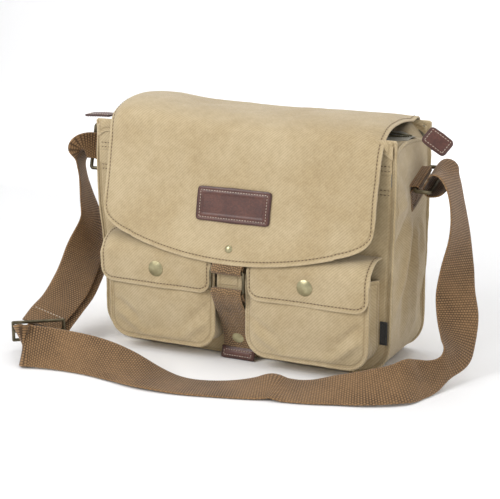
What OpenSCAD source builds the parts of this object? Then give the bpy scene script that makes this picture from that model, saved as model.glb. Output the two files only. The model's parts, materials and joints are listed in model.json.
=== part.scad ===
// Canvas messenger bag standing on its base, with its shoulder strap on the ground in front.
// Millimetres. +Z is up, the front faces -Y, +X is to the right seen from the front.
// The origin is the middle of the underside of the base.

/* [Body] */
// Width from gusset to gusset
body_width = 370; // [320:5:420]
// Depth from front panel to back panel
body_depth = 110; // [90:5:140]
// Height of the front panel's top edge
front_height = 264; // [230:2:290]
// Height of the back panel's top edge
back_height = 271; // [240:1:300]
// Height of the side gussets
gusset_height = 251; // [220:1:280]
// Radius of the body's lower corners
corner_radius = 36; // [20:1:60]
// Thickness of the canvas walls
canvas = 2; // [1.2:0.1:3]
// Radius of the piping on the edges
piping_radius = 2.6; // [1.5:0.1:4]

/* [Front] */
// Sideways place of the flap, pockets and closure
front_centre = 6; // [-10:1:10]
// Width of the main flap
flap_width = 334; // [280:2:360]
// Thickness of the doubled flap canvas
flap_canvas = 3; // [2:0.1:4]
// Height of the flap's lower edge at its middle
flap_low = 120; // [100:1:150]
// Width of one pocket
pocket_width = 145; // [110:1:160]
// Gap between the pockets
pocket_gap = 41; // [39:1:60]
// How far the pockets stand out from the body
pocket_depth = 32.8; // [15:0.2:45]
// Height of a pocket's underside
pocket_low = 16; // [8:1:40]
// Height of a pocket's front edge
pocket_rim = 109; // [90:1:112]
// Height of a pocket lid's lower edge
lid_low = 82; // [70:1:95]
// Height of the line where a pocket lid bends
lid_bend = 117; // [112:1:122]

/* [Closure] */
// Width of the closure webbing
closure_width = 37.5; // [25:0.5:40]
// Height of the closure ring's upper bar
ring_top = 111.5; // [105:0.5:115]
// Height of the closure ring's lower bar
ring_low = 88; // [80:0.5:95]
// Radius of the closure ring's wire
ring_wire = 1.4; // [1:0.1:2]

/* [Strap] */
// Width of the shoulder webbing
strap_width = 48; // [38:1:50]
// Thickness of the shoulder webbing
strap_thick = 2.2; // [1.5:0.1:3]
// Radius of the side rings' wire
side_wire = 2.2; // [1.5:0.1:3]
// Reach of a side ring from its tab to its outer bar
side_reach = 18; // [14:1:24]

/* [Hidden] */

half_width = body_width / 2;
half_depth = body_depth / 2;
// the panels stop this far above the ground, so that the piping touches it
panel_foot = piping_radius;
facing = 1.2;
front_face = -half_depth - facing;
pocket_front = front_face - pocket_depth;
pocket_corner = 24;
pocket_wall = 1.6;
left_pocket = front_centre - pocket_gap / 2 - pocket_width;
right_pocket = front_centre + pocket_gap / 2;
lid_thick = 2.4;
lid_overhang = 1.5;
lid_setback = 2.1;
ring_play = 0.3;
lid_back = pocket_front - 2.2;
lid_pivot_y = lid_back - lid_thick / 2;
snap_height = 103;
zip_level = 259.5;
tape_thick = 1.2;
teeth_high = 1.6;
front_zip_level = 222;
hinge_back_y = 56.5;
hinge_back_z = 273;
fold_y = -60;
fold_z = 268;
closure_y = -97;
loop_outer = 3.6;
running = 0.06;
tab_out_left = 30;
tab_out_right = 8;
left_ring_y = 10;
left_ring_z = 218;
left_ring_tilt = 15;
right_ring_y = 13;
right_ring_z = 213;
right_ring_tilt = 70;
tip_low = 8.5;
tip_high = 17;
$fn = 48;

canvas_colour = [0.74, 0.66, 0.5];
lining_colour = [0.47, 0.45, 0.4];
webbing_colour = [0.43, 0.31, 0.2];
leather_colour = [0.37, 0.22, 0.2];
brass_colour = [0.55, 0.53, 0.38];
black_colour = [0.08, 0.08, 0.08];

// a shape drawn in X and Z, made solid from y0 to y1
module along_y(y0, y1) {
    translate([0, y1, 0]) rotate([90, 0, 0]) linear_extrude(y1 - y0) children();
}

// a shape drawn in Y and Z, made solid from x0 to x1
module along_x(x0, x1) {
    translate([x0, 0, 0]) rotate([90, 0, 90]) linear_extrude(x1 - x0) children();
}

// a flat sheet with two rounded lower corners
module sheet(x0, x1, low, high, r) {
    translate([x0, low + r]) square([x1 - x0, high - low - r]);
    translate([x0 + r, low]) square([x1 - x0 - 2 * r, r + 1]);
    translate([x0 + r, low + r]) circle(r, $fn = 96);
    translate([x1 - r, low + r]) circle(r, $fn = 96);
}

module body_sheet(inset, high) {
    sheet(-half_width + inset, half_width - inset, panel_foot + inset, high, corner_radius - inset);
}

// the body's strip of gusset and base between the two panels
module body_strip(high) {
    along_y(-half_depth + canvas, half_depth - canvas) difference() {
        body_sheet(0, high);
        translate([0, 1]) body_sheet_hollow(high);
    }
}

module body_sheet_hollow(high) {
    translate([0, -1]) body_sheet(canvas, high + 5);
}

module front_panel() {
    color(canvas_colour) along_y(-half_depth, -half_depth + canvas) body_sheet(0, front_height);
}

module back_panel() {
    color(canvas_colour) along_y(half_depth - canvas, half_depth) body_sheet(0, back_height);
}

module gusset_left() {
    color(canvas_colour) intersection() {
        body_strip(gusset_height);
        translate([-half_width - 1, -half_depth, 0]) cube([corner_radius + 1, body_depth, front_height]);
    }
}

module gusset_right() {
    color(canvas_colour) mirror([1, 0, 0]) intersection() {
        body_strip(gusset_height);
        translate([-half_width - 1, -half_depth, 0]) cube([corner_radius + 1, body_depth, front_height]);
    }
}

module base_panel() {
    // the base, doubled below so that it stands level with the piping
    flat = half_width - corner_radius;
    color(canvas_colour) {
        translate([-flat, -half_depth + canvas, panel_foot]) cube([2 * flat, body_depth - 2 * canvas, canvas]);
        translate([-flat, -half_depth + 4, 0]) cube([2 * flat, body_depth - 8, panel_foot + 0.5]);
    }
}

module lining() {
    skin = 0.8;
    color(lining_colour) difference() {
        along_y(-half_depth + canvas, half_depth - canvas) body_sheet(canvas, gusset_height);
        along_y(-half_depth + canvas + skin, half_depth - canvas - skin)
            body_sheet(canvas + skin, gusset_height + 5);
    }
}

// the piping's section: it grips the corner of a panel, which fills its missing quarter
module piping_section(r) {
    difference() {
        circle(r, $fn = 24);
        translate([-2 * r, -2 * r]) square([2 * r, 2 * r]);
    }
}

// piping down one side, round the corner, along the foot and up the other side, at the face y = 0
module piping_run(x0, x1, low, high, corner, r) {
    translate([x1, 0, low + corner]) linear_extrude(high - low - corner)
        mirror([0, 1]) piping_section(r);
    translate([x0, 0, low + corner]) linear_extrude(high - low - corner)
        mirror([1, 0]) mirror([0, 1]) piping_section(r);
    translate([x1 - corner, 0, low + corner]) rotate([90, 0, 0]) rotate([0, 0, -90])
        rotate_extrude(angle = 90, $fn = 72) translate([corner, 0]) piping_section(r);
    translate([x0 + corner, 0, low + corner]) rotate([90, 0, 0]) rotate([0, 0, 180])
        rotate_extrude(angle = 90, $fn = 72) translate([corner, 0]) piping_section(r);
    translate([x0 + corner, 0, low]) rotate([90, 0, 90]) linear_extrude(x1 - x0 - 2 * corner)
        mirror([0, 1]) rotate([0, 0, 90]) piping_section(r);
}

module piping_front() {
    color(canvas_colour) translate([0, -half_depth, 0])
        piping_run(-half_width, half_width, panel_foot, front_height, corner_radius, piping_radius);
}

module piping_back() {
    color(canvas_colour) mirror([0, 1, 0]) translate([0, -half_depth, 0])
        piping_run(-half_width, half_width, panel_foot, back_height, corner_radius, piping_radius);
}

// the outer layer of the front below its zip
module pocket_panel() {
    inset = piping_radius + 0.4;
    color(canvas_colour) along_y(front_face, -half_depth) body_sheet(inset, front_zip_level - 7);
}

// the stitched band above the front zip
module top_hem() {
    inset = piping_radius + 0.4;
    color(canvas_colour) translate([-half_width + inset, front_face, front_zip_level + 7])
        cube([body_width - 2 * inset, facing, front_height - front_zip_level - 7]);
}

// the flap's sewn margin on the back panel
module flap_anchor() {
    color(canvas_colour) translate([front_centre - flap_width / 2, half_depth, back_height - 28])
        cube([flap_width, 1.6, 27.5]);
}

// one side of the open main zip, seen from above: shut at the left end, open over the compartment
module tape_plan() {
    polygon([
        [-194, -1.1], [-146, -1.1], [-118, -36], [122, -36], [150, -14], [180, -1.1], [194, -1.1],
        [194, -11], [183, -16], [152, -53], [-152, -53], [-183, -16], [-194, -11]
    ]);
}

module teeth_plan() {
    polygon([
        [-194, -0.3], [-146, -0.3], [-117.4, -35.2], [121.6, -35.2], [149.4, -13.2], [180, -0.3],
        [194, -0.3], [194, -2.4], [180.4, -2.4], [150.6, -15.2], [122.4, -37.4], [-118.6, -37.4],
        [-147, -2.4], [-194, -2.4]
    ]);
}

module zip_tape_front() {
    color(lining_colour) translate([0, 0, zip_level]) linear_extrude(tape_thick) tape_plan();
}

module zip_tape_back() {
    color(lining_colour) translate([0, 0, zip_level]) linear_extrude(tape_thick) mirror([0, 1]) tape_plan();
}

module zip_teeth_front() {
    color(brass_colour) translate([0, 0, zip_level + tape_thick]) linear_extrude(teeth_high) teeth_plan();
}

module zip_teeth_back() {
    color(brass_colour) translate([0, 0, zip_level + tape_thick])
        linear_extrude(teeth_high) mirror([0, 1]) teeth_plan();
}

module front_zip_tape() {
    inset = piping_radius + 0.4;
    color(lining_colour) translate([-half_width + inset, -half_depth - 0.8, front_zip_level - 7])
        cube([body_width - 2 * inset, 0.8, 14]);
}

module front_zip_teeth() {
    color(brass_colour) translate([-150, -half_depth - 2, front_zip_level - 1.6]) cube([300, 1.2, 3.2]);
}

// a pocket's front panel
module pocket_face(x0) {
    along_y(pocket_front, pocket_front + pocket_wall)
        sheet(x0, x0 + pocket_width, pocket_low, pocket_rim, pocket_corner);
}

// a pocket's sides and floor
module pocket_bellows(x0) {
    along_y(pocket_front + pocket_wall, front_face) difference() {
        sheet(x0, x0 + pocket_width, pocket_low, pocket_rim + 3, pocket_corner);
        sheet(x0 + pocket_wall, x0 + pocket_width - pocket_wall, pocket_low + pocket_wall,
            pocket_rim + 20, pocket_corner - pocket_wall);
    }
}

module pocket_piping(x0) {
    translate([0, pocket_front, 0])
        piping_run(x0, x0 + pocket_width, pocket_low, pocket_rim, pocket_corner, 1.5);
}

module pocket_face_left() { color(canvas_colour) pocket_face(left_pocket); }
module pocket_face_right() { color(canvas_colour) pocket_face(right_pocket); }
module pocket_bellows_left() { color(canvas_colour) pocket_bellows(left_pocket); }
module pocket_bellows_right() { color(canvas_colour) pocket_bellows(right_pocket); }
module pocket_piping_left() { color(canvas_colour) pocket_piping(left_pocket); }
module pocket_piping_right() { color(canvas_colour) pocket_piping(right_pocket); }

// a lid overhangs its pocket on the outside, and stops short of it beside the closure
function lid_start(x0) = x0 < front_centre ? x0 - lid_overhang : x0 + lid_setback;
function lid_end(x0) = x0 + pocket_width + (x0 < front_centre ? -lid_setback : lid_overhang);

// the sewn part of a pocket lid, from the body to the line where the lid bends
module lid_top(x0) {
    end = lid_bend + 1.9;
    along_x(lid_start(x0), lid_end(x0)) polygon([
        [front_face, 137.5], [-76, 136.5], [-86.5, 132], [-91.8, 126],
        [lid_pivot_y - 1.2, end], [lid_pivot_y + 1.2, end],
        [-89.6, 124.8], [-85, 130], [-75.6, 134], [front_face, 135]
    ]);
}

module lid_top_left() { color(canvas_colour) lid_top(left_pocket); }
module lid_top_right() { color(canvas_colour) lid_top(right_pocket); }

// the hanging part of a pocket lid
module lid(x0) {
    along_y(lid_back - lid_thick, lid_back) sheet(lid_start(x0), lid_end(x0), lid_low, lid_bend, 18);
    translate([lid_start(x0), lid_pivot_y, lid_bend]) rotate([0, 90, 0])
        cylinder(r = lid_thick / 2, h = lid_end(x0) - lid_start(x0));
}

// a domed cap facing -Y, its back at y = 0
module dome_cap(r, rim, high) {
    rotate([90, 0, 0]) {
        cylinder(r = r, h = rim);
        translate([0, 0, rim]) rotate_extrude($fn = 48) intersection() {
            translate([0, high - (r * r + high * high) / (2 * high)])
                circle((r * r + high * high) / (2 * high), $fn = 120);
            translate([0, 0]) square([r, high]);
        }
    }
}

module lid_cap(x0) {
    translate([x0 + pocket_width / 2, lid_back - lid_thick, snap_height]) dome_cap(9.2, 0.6, 2.2);
}

module lid_socket(x0) {
    translate([x0 + pocket_width / 2, lid_back, snap_height]) rotate([-90, 0, 0]) difference() {
        cylinder(r = 5.5, h = 1);
        translate([0, 0, 0.3]) cylinder(r = 3.4, h = 2);
    }
}

module lid_stud(x0) {
    translate([x0 + pocket_width / 2, pocket_front, snap_height]) rotate([90, 0, 0]) cylinder(r = 5, h = 0.7);
}

module lid_left() { color(canvas_colour) lid(left_pocket); }
module lid_right() { color(canvas_colour) lid(right_pocket); }
module lid_cap_left() { color(brass_colour) lid_cap(left_pocket); }
module lid_cap_right() { color(brass_colour) lid_cap(right_pocket); }
module lid_socket_left() { color(brass_colour) lid_socket(left_pocket); }
module lid_socket_right() { color(brass_colour) lid_socket(right_pocket); }
module lid_stud_left() { color(brass_colour) lid_stud(left_pocket); }
module lid_stud_right() { color(brass_colour) lid_stud(right_pocket); }

// the post on the body that the closure snaps onto
module closure_stud() {
    color(brass_colour) translate([front_centre, front_face, 25]) rotate([90, 0, 0]) {
        cylinder(r = 6, h = 1.2);
        cylinder(r = 2.8, h = 6.2);
    }
}

module side_label() {
    color(black_colour) translate([173.6, front_face - 0.8, 39]) cube([8.4, 0.8, 26]);
}

// a webbing tab that stands out from a gusset and loops round the side ring's inner bar
module side_tab(out) {
    wide = strap_width - 2;
    difference() {
        union() {
            translate([0, -1.5, -wide / 2]) cube([out, 3, wide]);
            translate([out, 0, -wide / 2]) cylinder(r = side_wire + 2.4, h = wide);
        }
        translate([out, 0, -wide]) cylinder(r = side_wire + running, h = 2 * wide);
    }
}

// a rectangle of round wire in X and Z, its corner at the origin's bar: inner bar on the Z axis
module wire_rectangle(wide, high, wire, bend) {
    for (s = [-1, 1]) {
        translate([bend, 0, s * high / 2]) rotate([0, 90, 0]) cylinder(r = wire, h = wide - 2 * bend);
        translate([bend, 0, s * (high / 2 - bend)]) rotate([90, 0, 0]) rotate([0, 0, s > 0 ? 90 : 180])
            rotate_extrude(angle = 90) translate([bend, 0]) circle(wire);
        translate([wide - bend, 0, s * (high / 2 - bend)]) rotate([90, 0, 0]) rotate([0, 0, s > 0 ? 0 : -90])
            rotate_extrude(angle = 90) translate([bend, 0]) circle(wire);
    }
    for (x = [0, wide]) {
        translate([x, 0, -high / 2 + bend]) cylinder(r = wire, h = high - 2 * bend);
    }
}

module place_left() {
    translate([-half_width, left_ring_y, left_ring_z]) rotate([-left_ring_tilt, 0, 0])
        mirror([1, 0, 0]) children();
}

module place_right() {
    translate([half_width, right_ring_y, right_ring_z]) rotate([-right_ring_tilt, 0, 0]) children();
}

module side_tab_left() { color(webbing_colour) place_left() side_tab(tab_out_left); }
module side_tab_right() { color(webbing_colour) place_right() side_tab(tab_out_right); }

module side_ring(out) {
    translate([out, 0, 0]) wire_rectangle(side_reach, strap_width + 6, side_wire, 3);
}

module ring_left() { color(brass_colour) place_left() side_ring(tab_out_left); }
module ring_right() { color(brass_colour) place_right() side_ring(tab_out_right); }

// the strap's route: middle of the webbing, then the way to one edge, shorter where it is cupped
ROUTE = [
    [[227, 0, 211], [0, -0.97, -0.25]], [[221, 8, 206.5], [0, -0.95, -0.3]],
    [[213, 15.7, 204.8], [0, -0.94, -0.34]], [[204, 15.2, 206.4], [0, -0.94, -0.34]],
    [[202, 12.5, 214], [0, -0.94, -0.34]], [[206, 10, 221.5], [0, -0.94, -0.34]],
    [[213, 7.5, 226.5], [0, -0.95, -0.3]], [[223, 4, 225], [0, -0.98, -0.2]],
    [[231.5, 2, 213], [0, -1, -0.05]], [[237.5, 1, 192], [0, -1, 0]],
    [[241.5, 1, 158], [-0.17, -0.98, 0]], [[241, -1, 120], [-0.55, -0.83, 0]],
    [[241, -3, 92], [-0.72, -0.69, 0]], [[247, -12, 68], [-0.86, -0.5, 0.05]],
    [[252, -26, 45], [-0.58, -0.76, 0.3]], [[254, -40, 33], [-0.44, -0.7, 0.33]],
    [[251, -52, 25.5], [-0.24, -0.4, 0.42]], [[245.5, -63.5, 20.5], [-0.2, 0.05, 0.56]],
    [[240, -74, 18.2], [-0.21, 0.3, 0.64]], [[232.5, -86.5, 17.8], [-0.23, 0.58, 0.66]],
    [[219, -111, 18.5], [-0.26, 0.73, 0.64]], [[189, -129, 15], [-0.3, 0.8, 0.52]],
    [[156, -139, 10.5], [-0.35, 0.85, 0.35]], [[129, -147, 6.6], [-0.4, 0.9, 0.18]],
    [[104, -153, 6.5], [-0.4, 0.9, 0.18]], [[88, -155, 9], [-0.4, 0.87, 0.28]],
    [[72, -160, 6], [-0.42, 0.9, 0.14]], [[40, -169, 2.4], [-0.45, 0.89, 0.02]],
    [[-8, -181, 2.4], [-0.45, 0.89, 0.02]], [[-46, -184, 7.5], [-0.42, 0.86, 0.24]],
    [[-86, -180, 14], [-0.4, 0.74, 0.5]], [[-120, -178, 18], [-0.35, 0.64, 0.66]],
    [[-159, -181, 20.5], [-0.32, 0.54, 0.77]], [[-192, -190.5, 23.2], [-0.34, 0.4, 0.85]],
    [[-202, -194.5, 23.8], [-0.42, 0.36, 0.83]], [[-206, -191, 24.2], [-0.45, 0.32, 0.83]],
    [[-203.5, -186, 24.4], [-0.48, 0.24, 0.82]], [[-203, -171, 22.5], [-0.64, -0.1, 0.66]],
    [[-209, -156, 19.5], [-0.78, -0.45, 0.35]], [[-213, -141, 20], [-0.8, -0.58, 0.05]],
    [[-213, -119, 30.5], [-0.82, -0.57, 0]], [[-212, -97, 41.5], [-0.85, -0.5, 0]],
    [[-213, -66, 58], [-0.8, -0.57, 0.1]], [[-224, -21, 84], [-0.35, -0.93, 0]],
    [[-236, 5, 120], [0, -1, 0]], [[-243, 7, 152], [0.22, -0.97, 0]],
    [[-248.5, 8, 180], [0.35, -0.92, 0.1]], [[-251, 11, 199], [0.3, -0.8, 0.3]],
    [[-249, 16, 210], [0.2, -0.6, 0.5]], [[-242, 18.5, 215.3], [0, 0, 0.9]],
    [[-232, 19.4, 215.4], [0, 0.26, 0.97]], [[-223.6, 10, 218], [0, 0.26, 0.97]],
    [[-232, 0.4, 220.6], [0, 0.26, 0.97]], [[-241.5, -6.5, 219], [0, 0, 0.9]],
    [[-245.5, -5, 211], [0.2, -0.6, 0.5]], [[-246, -3, 199], [0.3, -0.8, 0.3]],
    [[-243, -1, 180], [0.38, -0.9, 0.1]], [[-237.5, -1, 154], [0.22, -0.97, 0]],
    [[-230.5, -4, 126], [0, -1, 0]], [[-226, -29, 94], [-0.35, -0.93, 0]],
    [[-217, -71, 65], [-0.8, -0.57, 0.1]], [[-216, -100, 48.5], [-0.85, -0.5, 0]],
    [[-218, -122, 38], [-0.82, -0.57, 0]], [[-217, -140, 30], [-0.8, -0.6, 0]]
];

function unit(v) = v / norm(v);
last_ring = len(ROUTE) - 1;
function along(i) = unit(ROUTE[min(i + 1, last_ring)][0] - ROUTE[max(i - 1, 0)][0]);
function share(i) = min(1, norm(ROUTE[i][1]));
function edge(i) = unit(ROUTE[i][1] - (ROUTE[i][1] * along(i)) * along(i));
function face(i) = cross(along(i), edge(i));
// eight corners round a flat section with chamfered edges
SECTION = [[1, 0.4], [0.96, 1], [0, 1], [-0.96, 1], [-1, -0.4], [-0.96, -1], [0, -1], [0.96, -1]];
sides = len(SECTION);
function ring_points(i) = [for (s = SECTION)
    ROUTE[i][0] + s[0] * strap_width / 2 * share(i) * edge(i) + s[1] * strap_thick / 2 * face(i)];
strap_points = [for (i = [0:last_ring]) each ring_points(i)];
strap_skin = [for (i = [0:last_ring - 1]) for (k = [0:sides - 1]) each [
    [i * sides + k, (i + 1) * sides + (k + 1) % sides, i * sides + (k + 1) % sides],
    [i * sides + k, (i + 1) * sides + k, (i + 1) * sides + (k + 1) % sides]
]];
strap_ends = concat(
    [for (k = [1:sides - 2]) [0, k, k + 1]],
    [for (k = [1:sides - 2]) [last_ring * sides, last_ring * sides + k + 1, last_ring * sides + k]]
);

module shoulder_strap() {
    color(webbing_colour) polyhedron(points = strap_points, faces = concat(strap_skin, strap_ends));
}

// the sliding adjuster, threaded by the strap
module tri_glide() {
    color(brass_colour) translate([-217, -144, 25.5]) rotate([0, 0, 37]) rotate([22, 0, 0]) {
        translate([-29, 0, 0]) rotate([90, 0, 0]) rotate([90, 0, 0])
            translate([0, 0, -0]) glide_frame();
    }
}

module glide_frame() {
    wide = 58;
    deep = 26;
    wire = 1.9;
    for (s = [-1, 0, 1]) {
        translate([0, 0, s * deep / 2]) rotate([0, 90, 0]) cylinder(r = wire, h = wide);
    }
    for (x = [0, wide]) {
        translate([x, 0, -deep / 2]) cylinder(r = wire, h = deep);
        for (s = [-1, 1]) translate([x, 0, s * deep / 2]) sphere(wire);
    }
}

// the flap's outer line seen from the side, then back along its inner line
FLAP_LINE = [[-61.5, 268], [-76, 201], [-84.5, 160], [-99, 115]];

module flap_outline() {
    low = flap_low;
    side = flap_width / 2;
    intersection() {
        translate([front_centre, 0]) intersection() {
            union() {
                translate([-side, low + 70]) square([flap_width, fold_z - low - 70]);
                sheet(-side, side, low, fold_z, 52);
            }
            translate([0, low + 440]) circle(440, $fn = 400);
        }
        translate([-300, low - 10]) square([600, fold_z - low + 10]);
    }
}

module flap_front() {
    color(canvas_colour) {
        intersection() {
            along_y(-110, -50) flap_outline();
            along_x(-200, 200) polygon([
                FLAP_LINE[0], FLAP_LINE[1], FLAP_LINE[2], FLAP_LINE[3],
                FLAP_LINE[3] + [flap_canvas, 0], FLAP_LINE[2] + [flap_canvas, 0],
                FLAP_LINE[1] + [flap_canvas, 0], FLAP_LINE[0] + [flap_canvas, 0]
            ]);
        }
        translate([front_centre - flap_width / 2, fold_y, fold_z]) rotate([0, 90, 0])
            cylinder(r = flap_canvas / 2, h = flap_width);
    }
}

module flap_top() {
    color(canvas_colour) {
        along_x(front_centre - flap_width / 2, front_centre + flap_width / 2) polygon([
            [hinge_back_y, 274.5], [40, 279], [16, 282.5], [-10, 283.5], [-34, 281], [-48, 276.5],
            [-58.2, 270.2], [-57.4, 267.6], [-46.8, 273.4], [-33.4, 278], [-10, 280.4],
            [16, 279.4], [39.6, 276], [hinge_back_y, 271.5]
        ]);
        translate([front_centre - flap_width / 2, hinge_back_y, hinge_back_z]) rotate([0, 90, 0])
            cylinder(r = 1.5, h = flap_width);
    }
}

// the leather patch, blank, with a shallow sunk field
module leather_patch() {
    wide = 90;
    high = 38;
    thick = 1.8;
    corner = 4;
    lean = atan(8.5 / 41);
    color(leather_colour) translate([front_centre, -80, 182.5]) rotate([-lean, 0, 0])
        rotate([90, 0, 0]) difference() {
            linear_extrude(thick) rounded_box(wide, high, corner);
            translate([0, 0, thick - 0.4]) linear_extrude(1) rounded_box(wide - 16, high - 16, 2);
        }
}

module rounded_box(wide, high, r) {
    square([wide - 2 * r, high], center = true);
    square([wide, high - 2 * r], center = true);
    for (x = [-1, 1]) for (y = [-1, 1]) {
        translate([x * (wide / 2 - r), y * (high / 2 - r)]) circle(r, $fn = 32);
    }
}

module flap_rivet() {
    lean = atan(14.5 / 45);
    color(brass_colour) translate([front_centre, -84.5 - (160 - 136) * 14.5 / 45, 136])
        rotate([-lean, 0, 0]) dome_cap(4.4, 0.5, 1.5);
}

// the webbing under the flap that carries the closure ring
module closure_tab() {
    x0 = front_centre - closure_width / 2;
    color(webbing_colour) difference() {
        union() {
            along_x(x0, x0 + closure_width) polygon([
                [-82, 158], [-94.2, 120], [-98.9, 112.6], [-96.2, 109.6], [-91.6, 120], [-79.9, 158]
            ]);
            translate([x0, closure_y, ring_top]) rotate([0, 90, 0]) cylinder(r = loop_outer, h = closure_width);
        }
        translate([x0 - 1, closure_y, ring_top]) rotate([0, 90, 0])
            cylinder(r = ring_wire + running, h = closure_width + 2);
    }
}

module closure_ring() {
    color(brass_colour) translate([front_centre, closure_y, ring_top]) rotate([0, 90, 0])
        wire_rectangle(ring_top - ring_low, closure_width + 2 * (ring_wire + ring_play), ring_wire, 1.5);
}

module closure_strap() {
    x0 = front_centre - closure_width / 2;
    color(webbing_colour) difference() {
        union() {
            along_x(x0, x0 + closure_width) polygon([
                [-99.4, 85.6], [-71, 35], [-66.3, tip_high], [-63.7, tip_high], [-68.2, 35.6], [-95.2, 84.9]
            ]);
            translate([x0, closure_y, ring_low]) rotate([0, 90, 0]) cylinder(r = loop_outer, h = closure_width);
        }
        translate([x0 - 1, closure_y, ring_low]) rotate([0, 90, 0])
            cylinder(r = ring_wire + running, h = closure_width + 2);
    }
}

// the stitched leather end of the closure strap
module closure_tip() {
    x0 = front_centre - closure_width / 2 - 0.8;
    color(leather_colour) along_x(x0, x0 + closure_width + 1.6) polygon([
        [-66.9, tip_high], [-64.8, tip_low], [-61.2, tip_low], [-63.1, tip_high]
    ]);
}

module closure_cap() {
    lean = atan(4.7 / 18);
    color(brass_colour) translate([front_centre, -68.55, 25.6]) rotate([lean, 0, 0]) dome_cap(7.2, 0.8, 1.2);
}

module closure_socket() {
    lean = atan(4.5 / 18.6);
    color(brass_colour) translate([front_centre, -65.75, 25.6]) rotate([lean, 0, 0]) rotate([-90, 0, 0])
        cylinder(r = 5, h = 1.2);
}

// a zip slider that straddles its teeth; the tape lies at z = 0 and the teeth rise from it
module slider_body(long, gap) {
    translate([-long / 2, -4.6, teeth_high + 0.3]) cube([long, 9.2, 1.8]);
    for (s = [-1, 1]) {
        translate([-long / 2, s > 0 ? 3.3 : -4.6, gap]) cube([long, 1.3, teeth_high + 0.4]);
    }
    translate([-1.6, -2, teeth_high + 2]) cube([3.2, 4, 1.4]);
}

// a hanging pull: its pin end at the origin, the tongue along +X
module pull_tongue(long) {
    linear_extrude(1.4) difference() {
        union() {
            translate([0, -3.6]) square([long - 3.6, 7.2]);
            translate([long - 3.6, 0]) circle(3.6);
        }
        translate([long - 5, 0]) circle(1.6);
    }
    translate([0, 3.6, 0.7]) rotate([90, 0, 0]) cylinder(r = 0.7, h = 7.2);
}

module zip_slider() {
    color(brass_colour) translate([-153, 0, zip_level + tape_thick]) slider_body(11, 0.3);
}

module zip_pull() {
    color(brass_colour) translate([-150.5, 0, zip_level + tape_thick + teeth_high + 2.6]) pull_tongue(20);
}

module front_zip_slider() {
    color(brass_colour) translate([120, -half_depth - 0.8, front_zip_level]) rotate([90, 0, 0])
        slider_body(11, 0.3);
}

module front_zip_pull() {
    color(brass_colour) translate([120, -half_depth - 0.8 - teeth_high - 2.6, front_zip_level - 3])
        rotate([90, 0, 0]) rotate([0, 0, -90]) pull_tongue(22);
}

// the folded leather ends of the main zip
module zip_end(long) {
    translate([0, -11, -1.6]) cube([long - 4, 22, 3.2]);
    translate([long - 4, -7, -1.6]) cube([4, 14, 3.2]);
    for (s = [-1, 1]) translate([long - 4, s * 7, -1.6]) cylinder(r = 4, h = 3.2);
    rotate([90, 0, 0]) translate([0, 0, -11]) cylinder(r = 1.6, h = 22);
}

module zip_end_left() {
    color(leather_colour) translate([-196.4, 0, zip_level + 0.6]) mirror([1, 0, 0]) zip_end(38);
}

module zip_end_right() {
    color(leather_colour) translate([196.4, 0, zip_level + 0.6]) {
        rotate([0, 32, 0]) rotate([58, 0, 0]) zip_end(38);
        rotate([90, 0, 0]) translate([0, 0, -4]) cylinder(r = 1.6, h = 8);
    }
}

front_panel();
back_panel();
gusset_left();
gusset_right();
base_panel();
lining();
piping_front();
piping_back();
pocket_panel();
top_hem();
flap_anchor();
zip_tape_front();
zip_tape_back();
zip_teeth_front();
zip_teeth_back();
front_zip_tape();
front_zip_teeth();
pocket_face_left();
pocket_face_right();
pocket_bellows_left();
pocket_bellows_right();
pocket_piping_left();
pocket_piping_right();
lid_top_left();
lid_top_right();
lid_stud_left();
lid_stud_right();
closure_stud();
side_label();
side_tab_left();
side_tab_right();
shoulder_strap();
tri_glide();
flap_top();
flap_front();
leather_patch();
flap_rivet();
closure_tab();
closure_ring();
closure_strap();
closure_tip();
closure_cap();
closure_socket();
lid_left();
lid_cap_left();
lid_socket_left();
lid_right();
lid_cap_right();
lid_socket_right();
zip_slider();
zip_pull();
front_zip_slider();
front_zip_pull();
ring_left();
ring_right();
zip_end_left();
zip_end_right();
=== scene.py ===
import json
import math

import bpy
import numpy as np
from mathutils import Matrix, Vector


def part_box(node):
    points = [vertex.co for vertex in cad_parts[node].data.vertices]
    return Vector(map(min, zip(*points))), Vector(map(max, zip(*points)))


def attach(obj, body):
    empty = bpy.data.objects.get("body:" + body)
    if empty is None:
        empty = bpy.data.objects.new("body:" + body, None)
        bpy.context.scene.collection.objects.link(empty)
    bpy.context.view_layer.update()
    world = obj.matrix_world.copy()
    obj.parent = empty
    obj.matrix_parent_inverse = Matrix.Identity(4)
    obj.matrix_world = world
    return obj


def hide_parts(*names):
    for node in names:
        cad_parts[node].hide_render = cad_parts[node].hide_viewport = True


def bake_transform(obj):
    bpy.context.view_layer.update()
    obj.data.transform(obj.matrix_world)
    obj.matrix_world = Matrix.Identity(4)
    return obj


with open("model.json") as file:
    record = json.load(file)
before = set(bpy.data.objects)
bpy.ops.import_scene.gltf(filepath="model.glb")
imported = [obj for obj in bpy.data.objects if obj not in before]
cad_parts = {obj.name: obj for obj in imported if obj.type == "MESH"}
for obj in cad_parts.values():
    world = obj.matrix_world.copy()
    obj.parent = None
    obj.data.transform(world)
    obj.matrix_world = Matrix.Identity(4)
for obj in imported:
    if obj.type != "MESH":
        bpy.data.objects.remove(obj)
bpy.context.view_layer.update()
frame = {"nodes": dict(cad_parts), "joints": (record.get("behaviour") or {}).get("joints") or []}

MM = 0.001
BODY = "bag"

# ---------------------------------------------------------------- sizes read from the frame
panel_low, panel_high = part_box("front_panel")
half_width = panel_high.x
front_y = panel_low.y
foot_z = panel_low.z
front_top = panel_high.z
back_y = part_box("back_panel")[1].y
back_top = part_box("back_panel")[1].z
gusset_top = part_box("gusset_right")[1].z
outer_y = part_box("pocket_panel")[0].y
flap_left, flap_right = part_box("flap_front")[0].x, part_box("flap_front")[1].x
flap_middle = (flap_left + flap_right) / 2
flap_half = (flap_right - flap_left) / 2
flap_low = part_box("flap_front")[0].z
corner_radius = 36 * MM


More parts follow.
